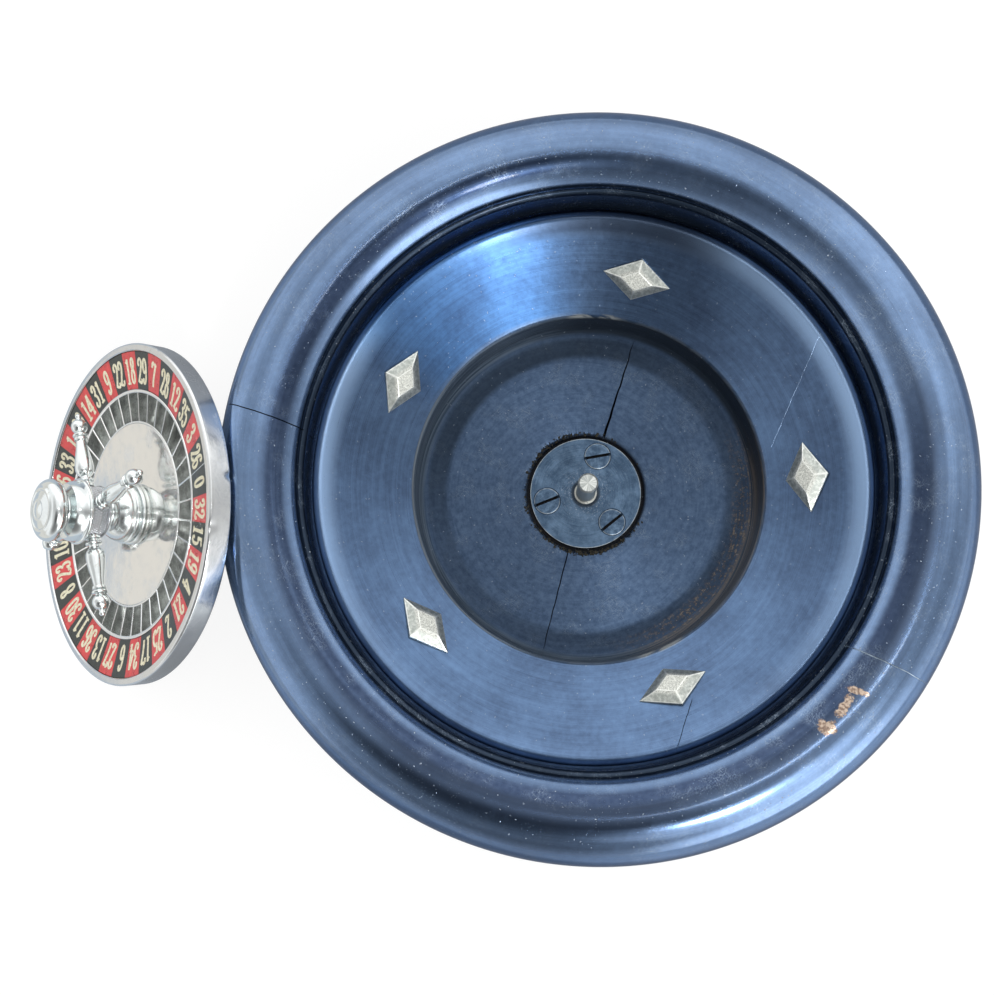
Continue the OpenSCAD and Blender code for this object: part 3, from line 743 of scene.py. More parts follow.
def screw_metal():
    """The plate's screws: as dark as the plate, with slots painted black as shade and a thin pale outline."""
    sh, point = shader("screw_metal")
    x, y, z = sh.parts(point)
    flat = sh.joined(x, y, 0.0)
    away = []
    for angle in SCREW_ANGLES:
        out, _ = radial(radians(angle))
        away.append(sh.vector("DISTANCE", flat, (*out * SCREW_CIRCLE, 0.0), output="Value"))
    stain = sh.noise(point, 0.5, 6.0, 0.7)
    colour = sh.mix(stain.ramp(0.35, 0.7), (0.046, 0.082, 0.138), (0.128, 0.2, 0.295))
    line = sh.least(*away).ramp(SCREW_R - 0.4, SCREW_R - 0.12) * stain.ramp(0.3, 0.6, 0.3, 0.8)
    colour = sh.mix(line, colour, (0.5, 0.55, 0.58))
    # Painted shade: the slots, and the heads below their tops, are painted black.
    colour = sh.mix(z.ramp(FLOOR_Z - 0.12, FLOOR_Z - 0.4), colour, (0.004, 0.004, 0.005))
    normal = sh.bump(sh.noise(point, 1.6, 5.0, 0.7), 0.04)
    return sh.finish(normal, colour, 0.85, stain.ramp(0.3, 0.8, 0.5, 0.36))


def spindle_steel():
    """Turned steel with a paler top that has rays and pits."""
    sh, point = shader("spindle_steel")
    _, z, way = sh.about_axis(point)
    x, y, _ = sh.parts(way)
    rays = sh.noise(sh.joined(x * 4.0, y * 4.0, 3.0), 1.0, 3.0)
    top = z.ramp(PIN_TOP - 0.2, PIN_TOP - 0.02)
    side = sh.mix(sh.rings(point, 1.5, 4.0, 4.0), (0.34, 0.35, 0.33), (0.6, 0.61, 0.56))
    face = sh.mix(rays.ramp(0.36, 0.64), (0.36, 0.385, 0.37), (0.72, 0.74, 0.71))
    pits = sh.noise(point, 1.6, 6.0, 0.8).ramp(0.66, 0.74)
    face = sh.mix(pits * 0.6, face, (0.25, 0.25, 0.22))
    return sh.finish(sh.bump(sh.rings(point, 5.0, 1.0, 3.0), 0.012), sh.mix(top, side, face), 0.7,
                     top.ramp(0.0, 1.0, 0.36, 0.42))


def stippled():
    """The deflectors: olive-grey plate with a granular top that rubbing has worn pale, painted highlights on
    the ridges and edges, and painted shade at the foot.
    """
    sh, point = shader("deflector_metal")
    x, y, z = sh.parts(point)
    tall = z.ramp(2.2, 2.9)
    grit = sh.noise(point, 2.6, 4.0, 0.7)
    pale = sh.mix(grit.ramp(0.35, 0.62), (0.42, 0.43, 0.39), (0.86, 0.87, 0.81))
    flank = sh.mix(sh.noise(point, 0.7, 5.0, 0.7).ramp(0.35, 0.7), (0.4, 0.43, 0.4), (0.74, 0.77, 0.72))
    colour = sh.mix(tall, flank, pale)
    # Painted highlights: pale lines along the ridges, round the edge of the top, and round the foot.
    span = abs(x) / DEFLECTOR_HALF_W + abs(y) / DEFLECTOR_HALF_L
    ridge = sh.least(abs(x), abs(y)).ramp(0.45, 0.1) * span.ramp(0.42, 0.46)
    border = abs(span - 0.455).ramp(0.035, 0.012)
    ridge = sh.most(ridge, border, span.ramp(0.92, 0.96, 0.0, 0.7))
    ridge *= sh.noise(point, 0.8, 3.0).ramp(0.3, 0.6, 0.35, 0.9)
    colour = sh.mix(ridge, colour, (0.93, 0.95, 0.9))
    # Painted shade: the foot of each stop is darkened where it meets the cone.
    colour = sh.mix(z.ramp(0.9, 0.2) * 0.7, colour, (0.05, 0.05, 0.035))
    return sh.finish(sh.bump(grit, 0.06), colour, 0.85, 0.42 + tall * 0.15 - ridge * 0.15)


def cream_paint():
    """The paint of the numbers, thin in patches."""
    sh, point = shader("numeral_paint")
    patchy = sh.noise(point, 1.3, 5.0, 0.7)
    colour = sh.mix(patchy.ramp(0.3, 0.65), (0.62, 0.55, 0.36), (0.9, 0.86, 0.66))
    return sh.finish(sh.bump(patchy, 0.02), colour, 0.0, patchy.ramp(0.2, 0.8, 0.35, 0.55))


def felt():
    """Green felt, worn here and there."""
    sh, point = shader("felt")
    fuzz = sh.noise(point, 3.0, 6.0, 0.8)
    colour = sh.mix(fuzz.ramp(0.3, 0.7), (0.008, 0.03, 0.016), (0.03, 0.085, 0.045))
    worn = sh.noise(point, 0.08, 4.0, 0.6).ramp(0.55, 0.75)
    colour = sh.mix(worn * 0.5, colour, (0.08, 0.09, 0.05))
    return sh.finish(sh.bump(fuzz, 0.25), colour, 0.0, 0.95, Sheen_Weight=0.4, Sheen_Roughness=0.5)


def crumb_material():
    """Old glue and dirt."""
    sh, point = shader("crumbs")
    colour = sh.mix(sh.noise(point, 1.5, 5.0, 0.8).ramp(0.4, 0.65), (0.005, 0.006, 0.005),
                    (0.04, 0.034, 0.02))
    return sh.finish(sh.bump(sh.noise(point, 5.0, 4.0), 0.1), colour, 0.0, 0.85)


# Bowl

def bowl_outline():
    """Half of the bowl's section, from the middle of its underside to the middle of the plate's seat."""
    rounding_x = SHOULDER_R - CONE_ROUND
    rounding_z = cone_z(rounding_x) - CONE_ROUND / cos(CONE)
    cove_r = (COVE_W ** 2 + COVE_TOP ** 2) / (2 * COVE_TOP)
    cove_end = degrees(math.asin(COVE_W / cove_r))
    belly = []
    for k in range(17):
        a = radians(90 * k / 16)
        belly.append((FOOT_R - 3 + (BELLY_R - FOOT_R + 3) * sin(a),
                      SEAT_Z - (SEAT_Z - FOOT_H) * cos(a)))
    foot_mid = (FOOT_H + FELT_T) / 2
    outline = [(0, 3.5), (58.6, 3.5), (59, 3.1), (59, 1.3), (59.3, FELT_T), (FOOT_R, FELT_T)]
    outline += arc(FOOT_R, foot_mid, foot_mid - FELT_T, -80, 80, 12)
    outline += belly
    outline += [(BELLY_R - 0.3, SEAT_Z), (SHOULDER_R, SEAT_Z)]
    outline += arc(rounding_x, rounding_z, CONE_ROUND, 0, 90 + degrees(CONE), 10)
    outline += eased([(70, cone_z(70)), (MOUTH_R, MOUTH_Z, 0.9), (WELL_R, MOUTH_Z - 1.1, 0.6),
                      (WELL_R, FLOOR_Z + COVE_TOP + 1)])[1:]
    outline += arc(WELL_R - COVE_W, FLOOR_Z + cove_r, cove_r, -90 + cove_end, -90, 12)
    outline += [(GAP_R + 1.4, FLOOR_Z), (GAP_R + 0.7, FLOOR_Z - 0.05), (GAP_R + 0.25, FLOOR_Z - 0.4),
                (GAP_R, FLOOR_Z - 1.2), (GAP_R, FLOOR_Z - 3), (0, FLOOR_Z - 3)]
    return outline


def frayed(radius, angle, height):
    """Break the edge of the wood round the bearing plate, most toward Y and away from it."""
    edge = np.clip(1 - np.abs(radius - (GAP_R + 0.35)) / 1.2, 0, 1) * (height > FLOOR_Z - 2)
    turn = np.degrees(angle) % 360
    rough = 0.22
    for middle, spread, most in ((120, 28, 1.1), (265, 28, 1.3), (195, 34, 0.45), (308, 14, 0.6)):
        rough = rough + most * np.exp(-((turn - middle) / spread) ** 2)
    jag = np.vectorize(lambda a: 0.5 + wavy(a * 0.22, 3.0) + 0.7 * wavy(a * 0.9, 9.0))(turn)
    push = edge * rough * jag * 0.75
    return radius + push, angle, height - 0.35 * edge * rough * np.clip(jag, 0, 1)


def make_bowl():
    wood = lacquer("lacquered_wood", (0.038, 0.067, 0.135), (0.132, 0.23, 0.405), 0.32, 0.35, well=True)
    step = 2.5
    under, *shell, seat = bowl_outline()
    closing = math.ceil(math.dist(shell[-1], shell[0]) / step) - 1
    bowl = turned("bowl_turned", [under] + refined(shell, step)[:-closing] + [seat], 720, shape=frayed)

    def on_floor(radius, height):
        return GAP_R - 1 < radius < WELL_R - 0.4 and FLOOR_Z - 1 < height < 27

    def on_cone(radius, height):
        return MOUTH_R + 0.5 < radius < SHOULDER_R - 1 and height > MOUTH_Z

    crack(bowl, (7.4, 18.0), (20.8, 52.6), 1.0, 0.9, on_floor, 0.25, 0.75)
    crack(bowl, (-7.4, -19.6), (-18.6, -54.0), 0.42, 0.5, on_floor, 0.2, 0.3)
    crack(bowl, (60.6, 7.2), (77.0, 43.8), 0.16, 0.06, on_cone, 0.15, 0.0, 0.28)
    crack(bowl, (27.2, -69.9), (19.6, -85.4), 0.2, 0.22, on_cone)
    return dressed(bowl, wood, "bowl", "lacquered_wood", "bowl_body")


def make_rim():
    """The rolled rim, with the wall of the ball track and the bead on it."""
    wood = lacquer("lacquered_rim", (0.104, 0.17, 0.3), (0.213, 0.34, 0.57), 0.2, 0.9)
    low = degrees(math.asin((SEAT_Z - ROLL_Z) / ROLL_R))
    bead_r, bead_z, bead_out = 1.5, LIP_Z - 3.1, 0.35
    bead = degrees(math.acos(bead_out / bead_r))
    outline = [(TRACK_R + 0.3, SEAT_Z), (TRACK_R, SEAT_Z + 0.3)]
    outline += arc(TRACK_R - bead_out, bead_z, bead_r, 360 - bead, bead, 14)
    outline += [(TRACK_R, LIP_Z - 0.45), (TRACK_R - 0.1, LIP_Z - 0.12), (LIP_R + 0.12, LIP_Z - 0.1)]
    outline += arc(ROLL_C, ROLL_Z, ROLL_R, 180 - degrees(LIP_ANGLE) - 1.2, low, 72)
    rim = turned("rim_turned", outline[::-1], 900)

    def on_roll(radius, height):
        return radius > LIP_R and height > ROLL_Z - 4

    crack(rim, (67.0, -54.6), (93.6, -69.8), 0.34, 0.12, on_roll, 0.15, 0.0, 1.0)
    crack(rim, (-85.4, 18.4), (-111.0, 28.8), 0.34, 0.4, on_roll, 0.1)
    return dressed(rim, wood, "bowl", "lacquered_rim", "rim_ring")


def make_felt():
    """The ring of felt, with both its edges frayed."""
    _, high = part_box("base_felt")
    outer = round(high.x / MM, 1)
    inner = outer - FELT_W
    outline = eased([(inner, 0, 0.25), (outer, 0, 0.3), (outer, FELT_T, 0.1), (inner, FELT_T, 0.1)], True)

    def uneven(radius, angle, height):
        away = np.where(radius > (inner + outer) / 2, 1, -1)
        fray = np.vectorize(lambda a, h: wavy(a * 14, h * 3) + 0.5 * wavy(a * 60, h))(angle, height)
        near_edge = (np.abs(radius - outer) < 0.4) | (np.abs(radius - inner) < 0.4)
        return radius - away * near_edge * (0.12 + 0.12 * fray), angle, height

    ring = turned("felt_ring", refined(outline, 2.0), 540, shape=uneven)
    return dressed(ring, felt(), "bowl", "felt", "base_felt")


def make_screws(steel):
    """Three countersunk heads with their slots, a little below the plate's face."""
    half_slot, rounding, slot_floor, head_h = 0.5, 0.06, 0.1, 1.0
    outline = [(0, -1.9), (2.0, -1.9), (SCREW_R - 0.15, 0.3), (SCREW_R, 0.6), (SCREW_R - 0.05, 0.85),
               (SCREW_R - 0.25, 0.97), (SCREW_R - 0.8, head_h)] + [(r, head_h) for r in (3, 2, 1, 0)]
    heads = []
    for angle, slot in zip(SCREW_ANGLES, SLOT_ANGLES):
        head = turned("screw", outline, 96)
        bm = bmesh.new()
        bm.from_mesh(head.data)
        for shift in (-half_slot, rounding - half_slot, half_slot - rounding, half_slot):
            bmesh.ops.bisect_plane(bm, geom=[*bm.verts, *bm.edges, *bm.faces], dist=1e-7,
                                   plane_co=(0, shift * MM, 0), plane_no=(0, 1, 0))
        for v in bm.verts:
            if abs(v.co.y) < (half_slot - 0.05) * MM and v.co.z > slot_floor * MM:
                v.co.z = -slot_floor * MM
        bm.to_mesh(head.data)
        bm.free()
        spot = about_z(angle) @ Vector((SCREW_CIRCLE, 0, FLOOR_Z - head_h - 0.02))
        head.data.transform(Matrix.Translation(spot * MM) @ about_z(slot))
        head.data.set_sharp_from_angle(angle=radians(35))
        heads.append(head)
    return dressed(joined("screw_heads", heads), steel, "bowl", "screw_metal", "plate_screws")


def make_spindle(steel):
    """The pin with its collar, and the tail that the nut holds."""
    outline = [(0, FLOOR_Z - 6), (2.5, FLOOR_Z - 6), (2.5, FLOOR_Z)]
    outline += eased([(4.0, FLOOR_Z), (4.0, FLOOR_Z + 0.8, 0.25), (PIN_R + 0.02, FLOOR_Z + 0.8, 0.15),
                      (PIN_R, FLOOR_Z + 1.6), (PIN_R, PIN_TOP - 0.6, 0.2), (PIN_R - 0.55, PIN_TOP, 0.15)])
    outline += [(1.5, PIN_TOP), (0, PIN_TOP)]
    return dressed(turned("spindle", outline, 160), steel, "bowl", "spindle_steel", "spindle_pin")


def diamond(index):
    """Points and faces of a bevelled diamond with a pitted flat top."""
    rings = [(0.99, -0.3), (1.0, 0.75), (0.985, 0.98), (0.93, 1.16), (0.5, 3.03), (0.465, 3.14), (0.43, 3.18)]
    corners = [(DEFLECTOR_HALF_W, 0), (0, DEFLECTOR_HALF_L), (-DEFLECTOR_HALF_W, 0), (0, -DEFLECTOR_HALF_L)]
    n = 8
    count = 4 * n
    points, faces = [], []
    for scale, z in rings:
        for (ax, ay), (bx, by) in zip(corners, corners[1:] + corners[:1]):
            for k in range(n):
                t = k / n
                points.append(((ax + (bx - ax) * t) * scale, (ay + (by - ay) * t) * scale, z))
    for r in range(len(rings) - 1):
        for k in range(count):
            a, b = r * count + k, r * count + (k + 1) % count
            faces.append((a, b, b + count, a + count))
    last = (len(rings) - 1) * count
    grid = {}
    for i in range(n + 1):
        for j in range(n + 1):
            if i == 0:
                grid[i, j] = last + j
            elif j == n:
                grid[i, j] = last + n + i
            elif i == n:
                grid[i, j] = last + 3 * n - j
            elif j == 0:
                grid[i, j] = last + (count - i) % count
            else:
                a = Vector(corners[0]).lerp(Vector(corners[1]), j / n)
                b = Vector(corners[3]).lerp(Vector(corners[2]), j / n)
                p = a.lerp(b, i / n) * rings[-1][0]
                grid[i, j] = len(points)
                points.append((p.x, p.y, 3.14 + 0.12 * wavy(p.x * 1.3 + 20 * index, p.y * 1.3, 4.0)))
    for i in range(n):
        for j in range(n):
            faces.append((grid[i, j], grid[i, j + 1], grid[i + 1, j + 1], grid[i + 1, j]))
    faces.append(tuple(range(count))[::-1])
    return points, faces


def make_deflector(index, metal):
    node = "deflector_%d" % (index + 1)
    place = about_z(DEFLECTOR_ANGLES[index])
    place = place @ Matrix.Translation(Vector((DEFLECTOR_R, 0, cone_z(DEFLECTOR_R))) * MM)
    place = place @ Matrix.Rotation(-CONE, 4, "Y")
    place = place @ about_z(DEFLECTOR_TURNS[index])
    stop = mesh_object(node + "_stop", *diamond(index), place, 28)
    return dressed(stop, metal, "bowl", "deflector_metal", node)


def make_crumbs():
    """Splinters and dirt that stand in the broken edge round the bearing plate."""
    rng = np.random.default_rng(23)
    bm = bmesh.new()
    for centre, spread, count in ((122, 24, 90), (262, 22, 110), (300, 14, 50), (70, 18, 8), (190, 40, 60)):
        for _ in range(count):
            a = radians(rng.normal(centre, spread))
            r = GAP_R + rng.uniform(0.1, 1.9) * abs(cos((degrees(a) - centre) / 57.3))
            size = rng.uniform(0.12, 0.48)
            made = bmesh.ops.create_icosphere(bm, subdivisions=2, radius=size * MM)
            stretch = Vector(rng.uniform(0.5, 1.5, 3))
            spin = Matrix.Rotation(rng.uniform(0, TAU), 3, "Z")
            spot = Vector((r * cos(a), r * sin(a), FLOOR_Z - 0.15 + rng.uniform(-0.3, 0.15)))
            for v in made["verts"]:
                p = v.co / MM
                p = p * (1 + 0.45 * wavy(*(p * 6 / size + spot)))
                v.co = (spin @ Vector((p.x * stretch.x, p.y * stretch.y, p.z * stretch.z * 0.7)) + spot) * MM
    return dressed(gathered("edge_crumbs", bm), crumb_material(), "bowl", "lacquered_wood")


# Wheel head

def band_dents(radius, angle, height):
    """Knocks that the plain band of the head has taken."""
    for turn, s, size, depth in ((-10.8, 0.0, 1.9, 0.32), (4.8, -6.3, 1.3, 0.45), (61, -0.1, 1.2, 0.15),
                                 (-48, -3, 2.4, 0.12), (150, -0.2, 1.4, 0.2), (204, -6.1, 1.5, 0.25)):
        across = (angle - radians(turn) + math.pi) % TAU - math.pi
        away = np.hypot(across * HEAD_R, height - s) / size
        radius = radius - (radius > NUMBER_R + 0.5) * depth * np.exp(-away ** 2 * 1.6)
    return radius, angle, height


def make_pan(nickel):
    corners = eased([(TAIL_R, -BAND_H), (55.6, -BAND_H, 0.25), (HEAD_R, -BAND_H + 0.5, 0.3),
                     (HEAD_R, RIM_STEP - 0.45, 0.5), (HEAD_R - 0.55, RIM_STEP, 0.45),
                     (NUMBER_R + 0.4, RIM_STEP, 0.2), (NUMBER_R + 0.1, RIM_STEP - 0.4, 0.1),
                     (NUMBER_R + 0.05, -1.2), (HOOP_R - 0.05, -NUMBER_FALL - 1.2), (HOOP_R - 0.05, PLATE_TOP),
                     (DISH_R - 0.6, PLATE_TOP), (DISH_R - 0.6, PLATFORM), (TAIL_R, PLATFORM)])
    outline = [p for p in refined(corners, 0.9) if p[0] > NUMBER_R or p in corners]
    return head_piece("pan_shell", outline, 720, nickel, "pan_nickel", "head_pan", shape=band_dents)


def ring_s(radius):
    """Height of the number ring's face."""
    return -(NUMBER_R - radius) * NUMBER_FALL / (NUMBER_R - HOOP_R)


def make_number_ring(metal):
    outline = [(NUMBER_R - 0.02, -0.3), (NUMBER_R - 0.02, -1.2), (HOOP_R, -NUMBER_FALL - 1.2),
               (HOOP_R, -NUMBER_FALL - 0.3)]
    return head_piece("number_bed", outline, 360, metal, "ring_metal", "number_ring")


def make_cells(name, node, cells, *look):
    """Enamel on cells that are named by their place in the order."""
    steps, rows = 12, 5
    gap = 0.0006
    points, faces = [], []
    for i in cells:
        start = ZERO_ANGLE - (i + 0.5) * CELL + gap
        base = len(points)
        for row in range(rows + 1):
            r = HOOP_R + 0.06 + (NUMBER_R - HOOP_R - 0.12) * row / rows
            for k in range(steps + 1):
                a = start + (CELL - 2 * gap) * k / steps
                edge = 0.04 if row in (0, rows) or k in (0, steps) else 0.0
                points.append((r * cos(a), r * sin(a), ring_s(r) - edge))
        top = len(points) - base
        for p in points[base:base + top]:
            points.append((p[0], p[1], p[2] - 0.24))
        width = steps + 1
        for row in range(rows):
            for k in range(steps):
                a = base + row * width + k
                faces.append((a, a + width, a + width + 1, a + 1)[::-1])
                faces.append(tuple(v + top for v in (a, a + width, a + width + 1, a + 1)))
        border = [base + k for k in range(width)]
        border += [base + r * width + steps for r in range(1, rows + 1)]
        border += [base + rows * width + k for k in range(steps - 1, -1, -1)]
        border += [base + r * width for r in range(rows - 1, 0, -1)]
        for a, b in zip(border, border[1:] + border[:1]):
            faces.append((b, a, a + top, b + top))
    return dressed(mesh_object(name, points, faces, HEAD), enamel(name, *look), "wheel_head", name, node)


# Each digit is drawn with a broad pen on a field that is 1 high. A stroke is closed, open, or a round dot.
FIELD_W = 0.54
BALL = "ball"
DIGITS = {
    0: [(True, [(0.10, 0.5), (0.13, 0.8), (0.27, 0.95), (0.41, 0.8), (0.44, 0.5), (0.41, 0.2), (0.27, 0.05),
                (0.13, 0.2)])],
    1: [(False, [(0.28, 0.05), (0.28, 0.35), (0.28, 0.65), (0.28, 0.95)]),
        (False, [(0.28, 0.94), (0.21, 0.85), (0.11, 0.8)]),
        (False, [(0.1, 0.045), (0.28, 0.05), (0.46, 0.045)])],
    2: [(False, [(0.11, 0.7), (0.11, 0.84), (0.26, 0.95), (0.41, 0.86), (0.42, 0.68), (0.32, 0.46),
                 (0.17, 0.22), (0.09, 0.07)]),
        (False, [(0.09, 0.07), (0.22, 0.1), (0.34, 0.05), (0.46, 0.1), (0.47, 0.22)]),
        (BALL, [(0.14, 0.72)])],
    3: [(False, [(0.11, 0.78), (0.16, 0.9), (0.28, 0.95), (0.4, 0.85), (0.39, 0.67), (0.29, 0.56),
                 (0.2, 0.54)]),
        (False, [(0.2, 0.54), (0.32, 0.52), (0.43, 0.4), (0.44, 0.22), (0.35, 0.07), (0.22, 0.04),
                 (0.12, 0.1), (0.1, 0.22)]),
        (BALL, [(0.14, 0.77)]), (BALL, [(0.14, 0.22)])],
    4: [(False, [(0.35, 0.95), (0.25, 0.73), (0.14, 0.5), (0.05, 0.3)]),
        (False, [(0.04, 0.28), (0.2, 0.28), (0.36, 0.28), (0.5, 0.28)]),
        (False, [(0.36, 0.95), (0.36, 0.65), (0.36, 0.35), (0.36, 0.05)]),
        (False, [(0.24, 0.04), (0.36, 0.05), (0.48, 0.04)])],
    5: [(False, [(0.13, 0.92), (0.24, 0.88), (0.34, 0.9), (0.43, 0.95)]),
        (False, [(0.13, 0.93), (0.125, 0.8), (0.12, 0.67), (0.12, 0.53)]),
        (False, [(0.12, 0.53), (0.24, 0.61), (0.37, 0.56), (0.44, 0.38), (0.42, 0.18), (0.3, 0.05),
                 (0.17, 0.05), (0.1, 0.18)]),
        (BALL, [(0.14, 0.17)])],
    6: [(False, [(0.42, 0.8), (0.39, 0.91), (0.28, 0.95), (0.15, 0.83), (0.1, 0.6), (0.1, 0.3), (0.17, 0.1),
                 (0.29, 0.05), (0.41, 0.15), (0.44, 0.32), (0.37, 0.5), (0.26, 0.55), (0.15, 0.48),
                 (0.11, 0.38)]), (BALL, [(0.39, 0.81)])],
    7: [(False, [(0.06, 0.9), (0.18, 0.95), (0.3, 0.87), (0.47, 0.93)]),
        (False, [(0.06, 0.91), (0.06, 0.84), (0.06, 0.74)]),
        (False, [(0.46, 0.9), (0.36, 0.66), (0.26, 0.38), (0.22, 0.05)])],
    8: [(True, [(0.14, 0.76), (0.17, 0.9), (0.27, 0.96), (0.37, 0.9), (0.4, 0.76), (0.35, 0.62),
                (0.27, 0.56), (0.19, 0.62)]),
        (True, [(0.1, 0.29), (0.15, 0.47), (0.27, 0.55), (0.39, 0.47), (0.44, 0.29), (0.39, 0.11),
                (0.27, 0.04), (0.15, 0.11)])],
}
DIGITS[9] = [(kind, [(FIELD_W - x, 1 - y) for x, y in stroke]) for kind, stroke in DIGITS[6]]
PEN_WIDE = 0.092
PEN_THIN = 0.044
BALL_TALL = 0.07
DIGIT_WIDE = 3.1 / FIELD_W
DIGIT_TALL = 8.7


def smooth_path(points, closed, steps=5):
    """A curve through the points."""
    pts = [Vector(p) for p in points]
    count = len(pts)
    out = []
    for i in range(count if closed else count - 1):
        if closed:
            a, b, c, d = (pts[(i + k) % count] for k in (-1, 0, 1, 2))
        else:
            a, b, c, d = pts[max(i - 1, 0)], pts[i], pts[i + 1], pts[min(i + 2, count - 1)]
        for k in range(steps):
            t = k / steps
            out.append(0.5 * (2 * b + (c - a) * t + (2 * a - 5 * b + 4 * c - d) * t * t
                              + (3 * b - a - 3 * c + d) * t ** 3))
    if not closed:
        out.append(pts[-1])
    return out


def pen_stroke(bm, kind, stroke, lift, to_ring):
    """Sweep the broad pen along a stroke and stand the mark on the number ring."""
    sunk = -0.1

    def solid(rims, closed):
        rows = [[bm.verts.new(to_ring(p, lift)) for p in rim] for rim in rims]
        floor = [[bm.verts.new(to_ring(p, sunk)) for p in rim] for rim in rims]
        count = len(rows)
        for i in range(count if closed else count - 1):
            (a, b), (c, d) = rows[i], rows[(i + 1) % count]
            (e, f), (g, h) = floor[i], floor[(i + 1) % count]
            for quad in ((a, c, d, b), (f, h, g, e), (e, g, c, a), (b, d, h, f)):
                bm.faces.new(quad)
        if not closed:
            bm.faces.new((rows[0][0], rows[0][1], floor[0][1], floor[0][0]))
            bm.faces.new((rows[-1][1], rows[-1][0], floor[-1][0], floor[-1][1]))

    if kind is BALL:
        centre = Vector(stroke[0])
        rims = [((centre.x + PEN_WIDE * cos(a), centre.y + BALL_TALL * sin(a)),
                 (centre.x - PEN_WIDE * cos(a), centre.y + BALL_TALL * sin(a)))
                for a in np.linspace(radians(100), radians(260), 9)]
        solid(rims, False)
        return
    path = smooth_path(stroke, kind)
    count = len(path)
    rims = []
    for i, p in enumerate(path):
        ahead = path[(i + 1) % count] if kind else path[min(i + 1, count - 1)]
        behind = path[i - 1] if kind else path[max(i - 1, 0)]
        way = (ahead - behind).normalized()
        side = Vector((-way.y, way.x))
        reach = hypot(PEN_WIDE * side.x, PEN_THIN * side.y)
        step = Vector((PEN_WIDE ** 2 * side.x, PEN_THIN ** 2 * side.y)) / reach
        rims.append((tuple(p + step), tuple(p - step)))
    solid(rims, kind)


def make_numerals():
    """The numbers, with their tops outward, where they are a little wider."""
    bm = bmesh.new()
    base_r = 42.9
    for place, number in enumerate(NUMBERS):
        out, side = radial(ZERO_ANGLE - place * CELL)
        digits = [int(d) for d in str(number)]
        for k, digit in enumerate(digits):
            shift = (k - len(digits) / 2) * FIELD_W

            def to_ring(p, lift):
                across = (p[0] + shift) * DIGIT_WIDE * (1 + 0.08 * (p[1] - 0.5))
                flat = out * (base_r + p[1] * DIGIT_TALL) - side * across
                return Vector((flat.x, flat.y, ring_s(flat.length) + lift)) * MM

            for n, (kind, stroke) in enumerate(DIGITS[digit]):
                pen_stroke(bm, kind, stroke, 0.05 + 0.006 * n, to_ring)
    bmesh.ops.recalc_face_normals(bm, faces=bm.faces)
    return dressed(gathered("numerals", bm, HEAD), cream_paint(), "wheel_head", "ring_metal")


def make_zero_line(metal):
    """The bright line that parts the zero from the last cell, since both are dark."""
    out, side = radial(ZERO_ANGLE + CELL / 2)
    half = 0.14
    points, faces = [], []
    for r in (HOOP_R, (HOOP_R + NUMBER_R) / 2, NUMBER_R - 0.05):
        for k, lift in ((-1, -0.15), (-0.8, 0.05), (0.8, 0.05), (1, -0.15)):
            p = out * r + side * half * k
            points.append((p.x, p.y, ring_s(r) + lift))
    for row in range(2):
        for k in range(3):
            b = row * 4 + k
            faces.append((b + 1, b + 5, b + 4, b))
    return dressed(mesh_object("zero_line", points, faces, HEAD), metal, "wheel_head", "ring_metal")


def make_frets(metal):
    """Two hoops with a thin fret between each pair of pockets."""
    outline = [(POCKET_R, POCKET_S), (HOOP_R - 0.1, POCKET_S), (HOOP_R - 0.1, FRET_TOP + 0.25, 0.3),
               (POCKET_R, FRET_TOP + 0.1, 0.4)]
    outer = turned("hoop_out", eased(outline, True), 360, HEAD)
    outline = [(DISH_R, POCKET_S), (INNER_R, POCKET_S), (INNER_R, DISH_TOP + 0.05, 0.25),
               (DISH_R, DISH_TOP + 0.05, 0.15)]
    inner = turned("hoop_in", eased(outline, True), 360, HEAD)
    points, faces = [], []
    half, soft = 0.3, 0.14
    for i in range(POCKETS):
        out, side = radial(ZERO_ANGLE + (i + 0.5) * CELL)
        base = len(points)
        for r, top in ((INNER_R - 0.2, DISH_TOP - 0.02), (INNER_R + 1.2, DISH_TOP + 0.16),
                       (POCKET_R - 1.2, FRET_TOP - 0.14), (POCKET_R + 0.2, FRET_TOP + 0.02)):
            for across, z in ((-half, POCKET_S), (-half, top - soft), (-half + soft, top), (half - soft, top),
                              (half, top - soft), (half, POCKET_S)):
                p = out * r + side * across
                points.append((p.x, p.y, z))
        for row in range(3):
            for k in range(5):
                b = base + row * 6 + k
                faces.append((b, b + 6, b + 7, b + 1))
            faces.append((base + row * 6 + 5, base + row * 6 + 11, base + row * 6 + 6, base + row * 6))
        faces.append(tuple(base + k for k in range(6)))
        faces.append(tuple(base + 18 + k for k in range(5, -1, -1)))
    bars = mesh_object("fret_bars", points, faces, HEAD)
    ring = joined("frets_and_hoops", [bars, outer, inner])
    return dressed(ring, metal, "wheel_head", "fret_metal", "fret_ring")


def make_pocket_floor(metal):
    inner, outer, thick = DISH_R - 0.5, HOOP_R - 0.1, 0.3
    outline = [(inner, POCKET_S - thick), (outer, POCKET_S - thick), (outer, POCKET_S), (inner, POCKET_S)]
    return head_piece("pocket_bed", outline, 360, metal, "pocket_metal", "pocket_floor")


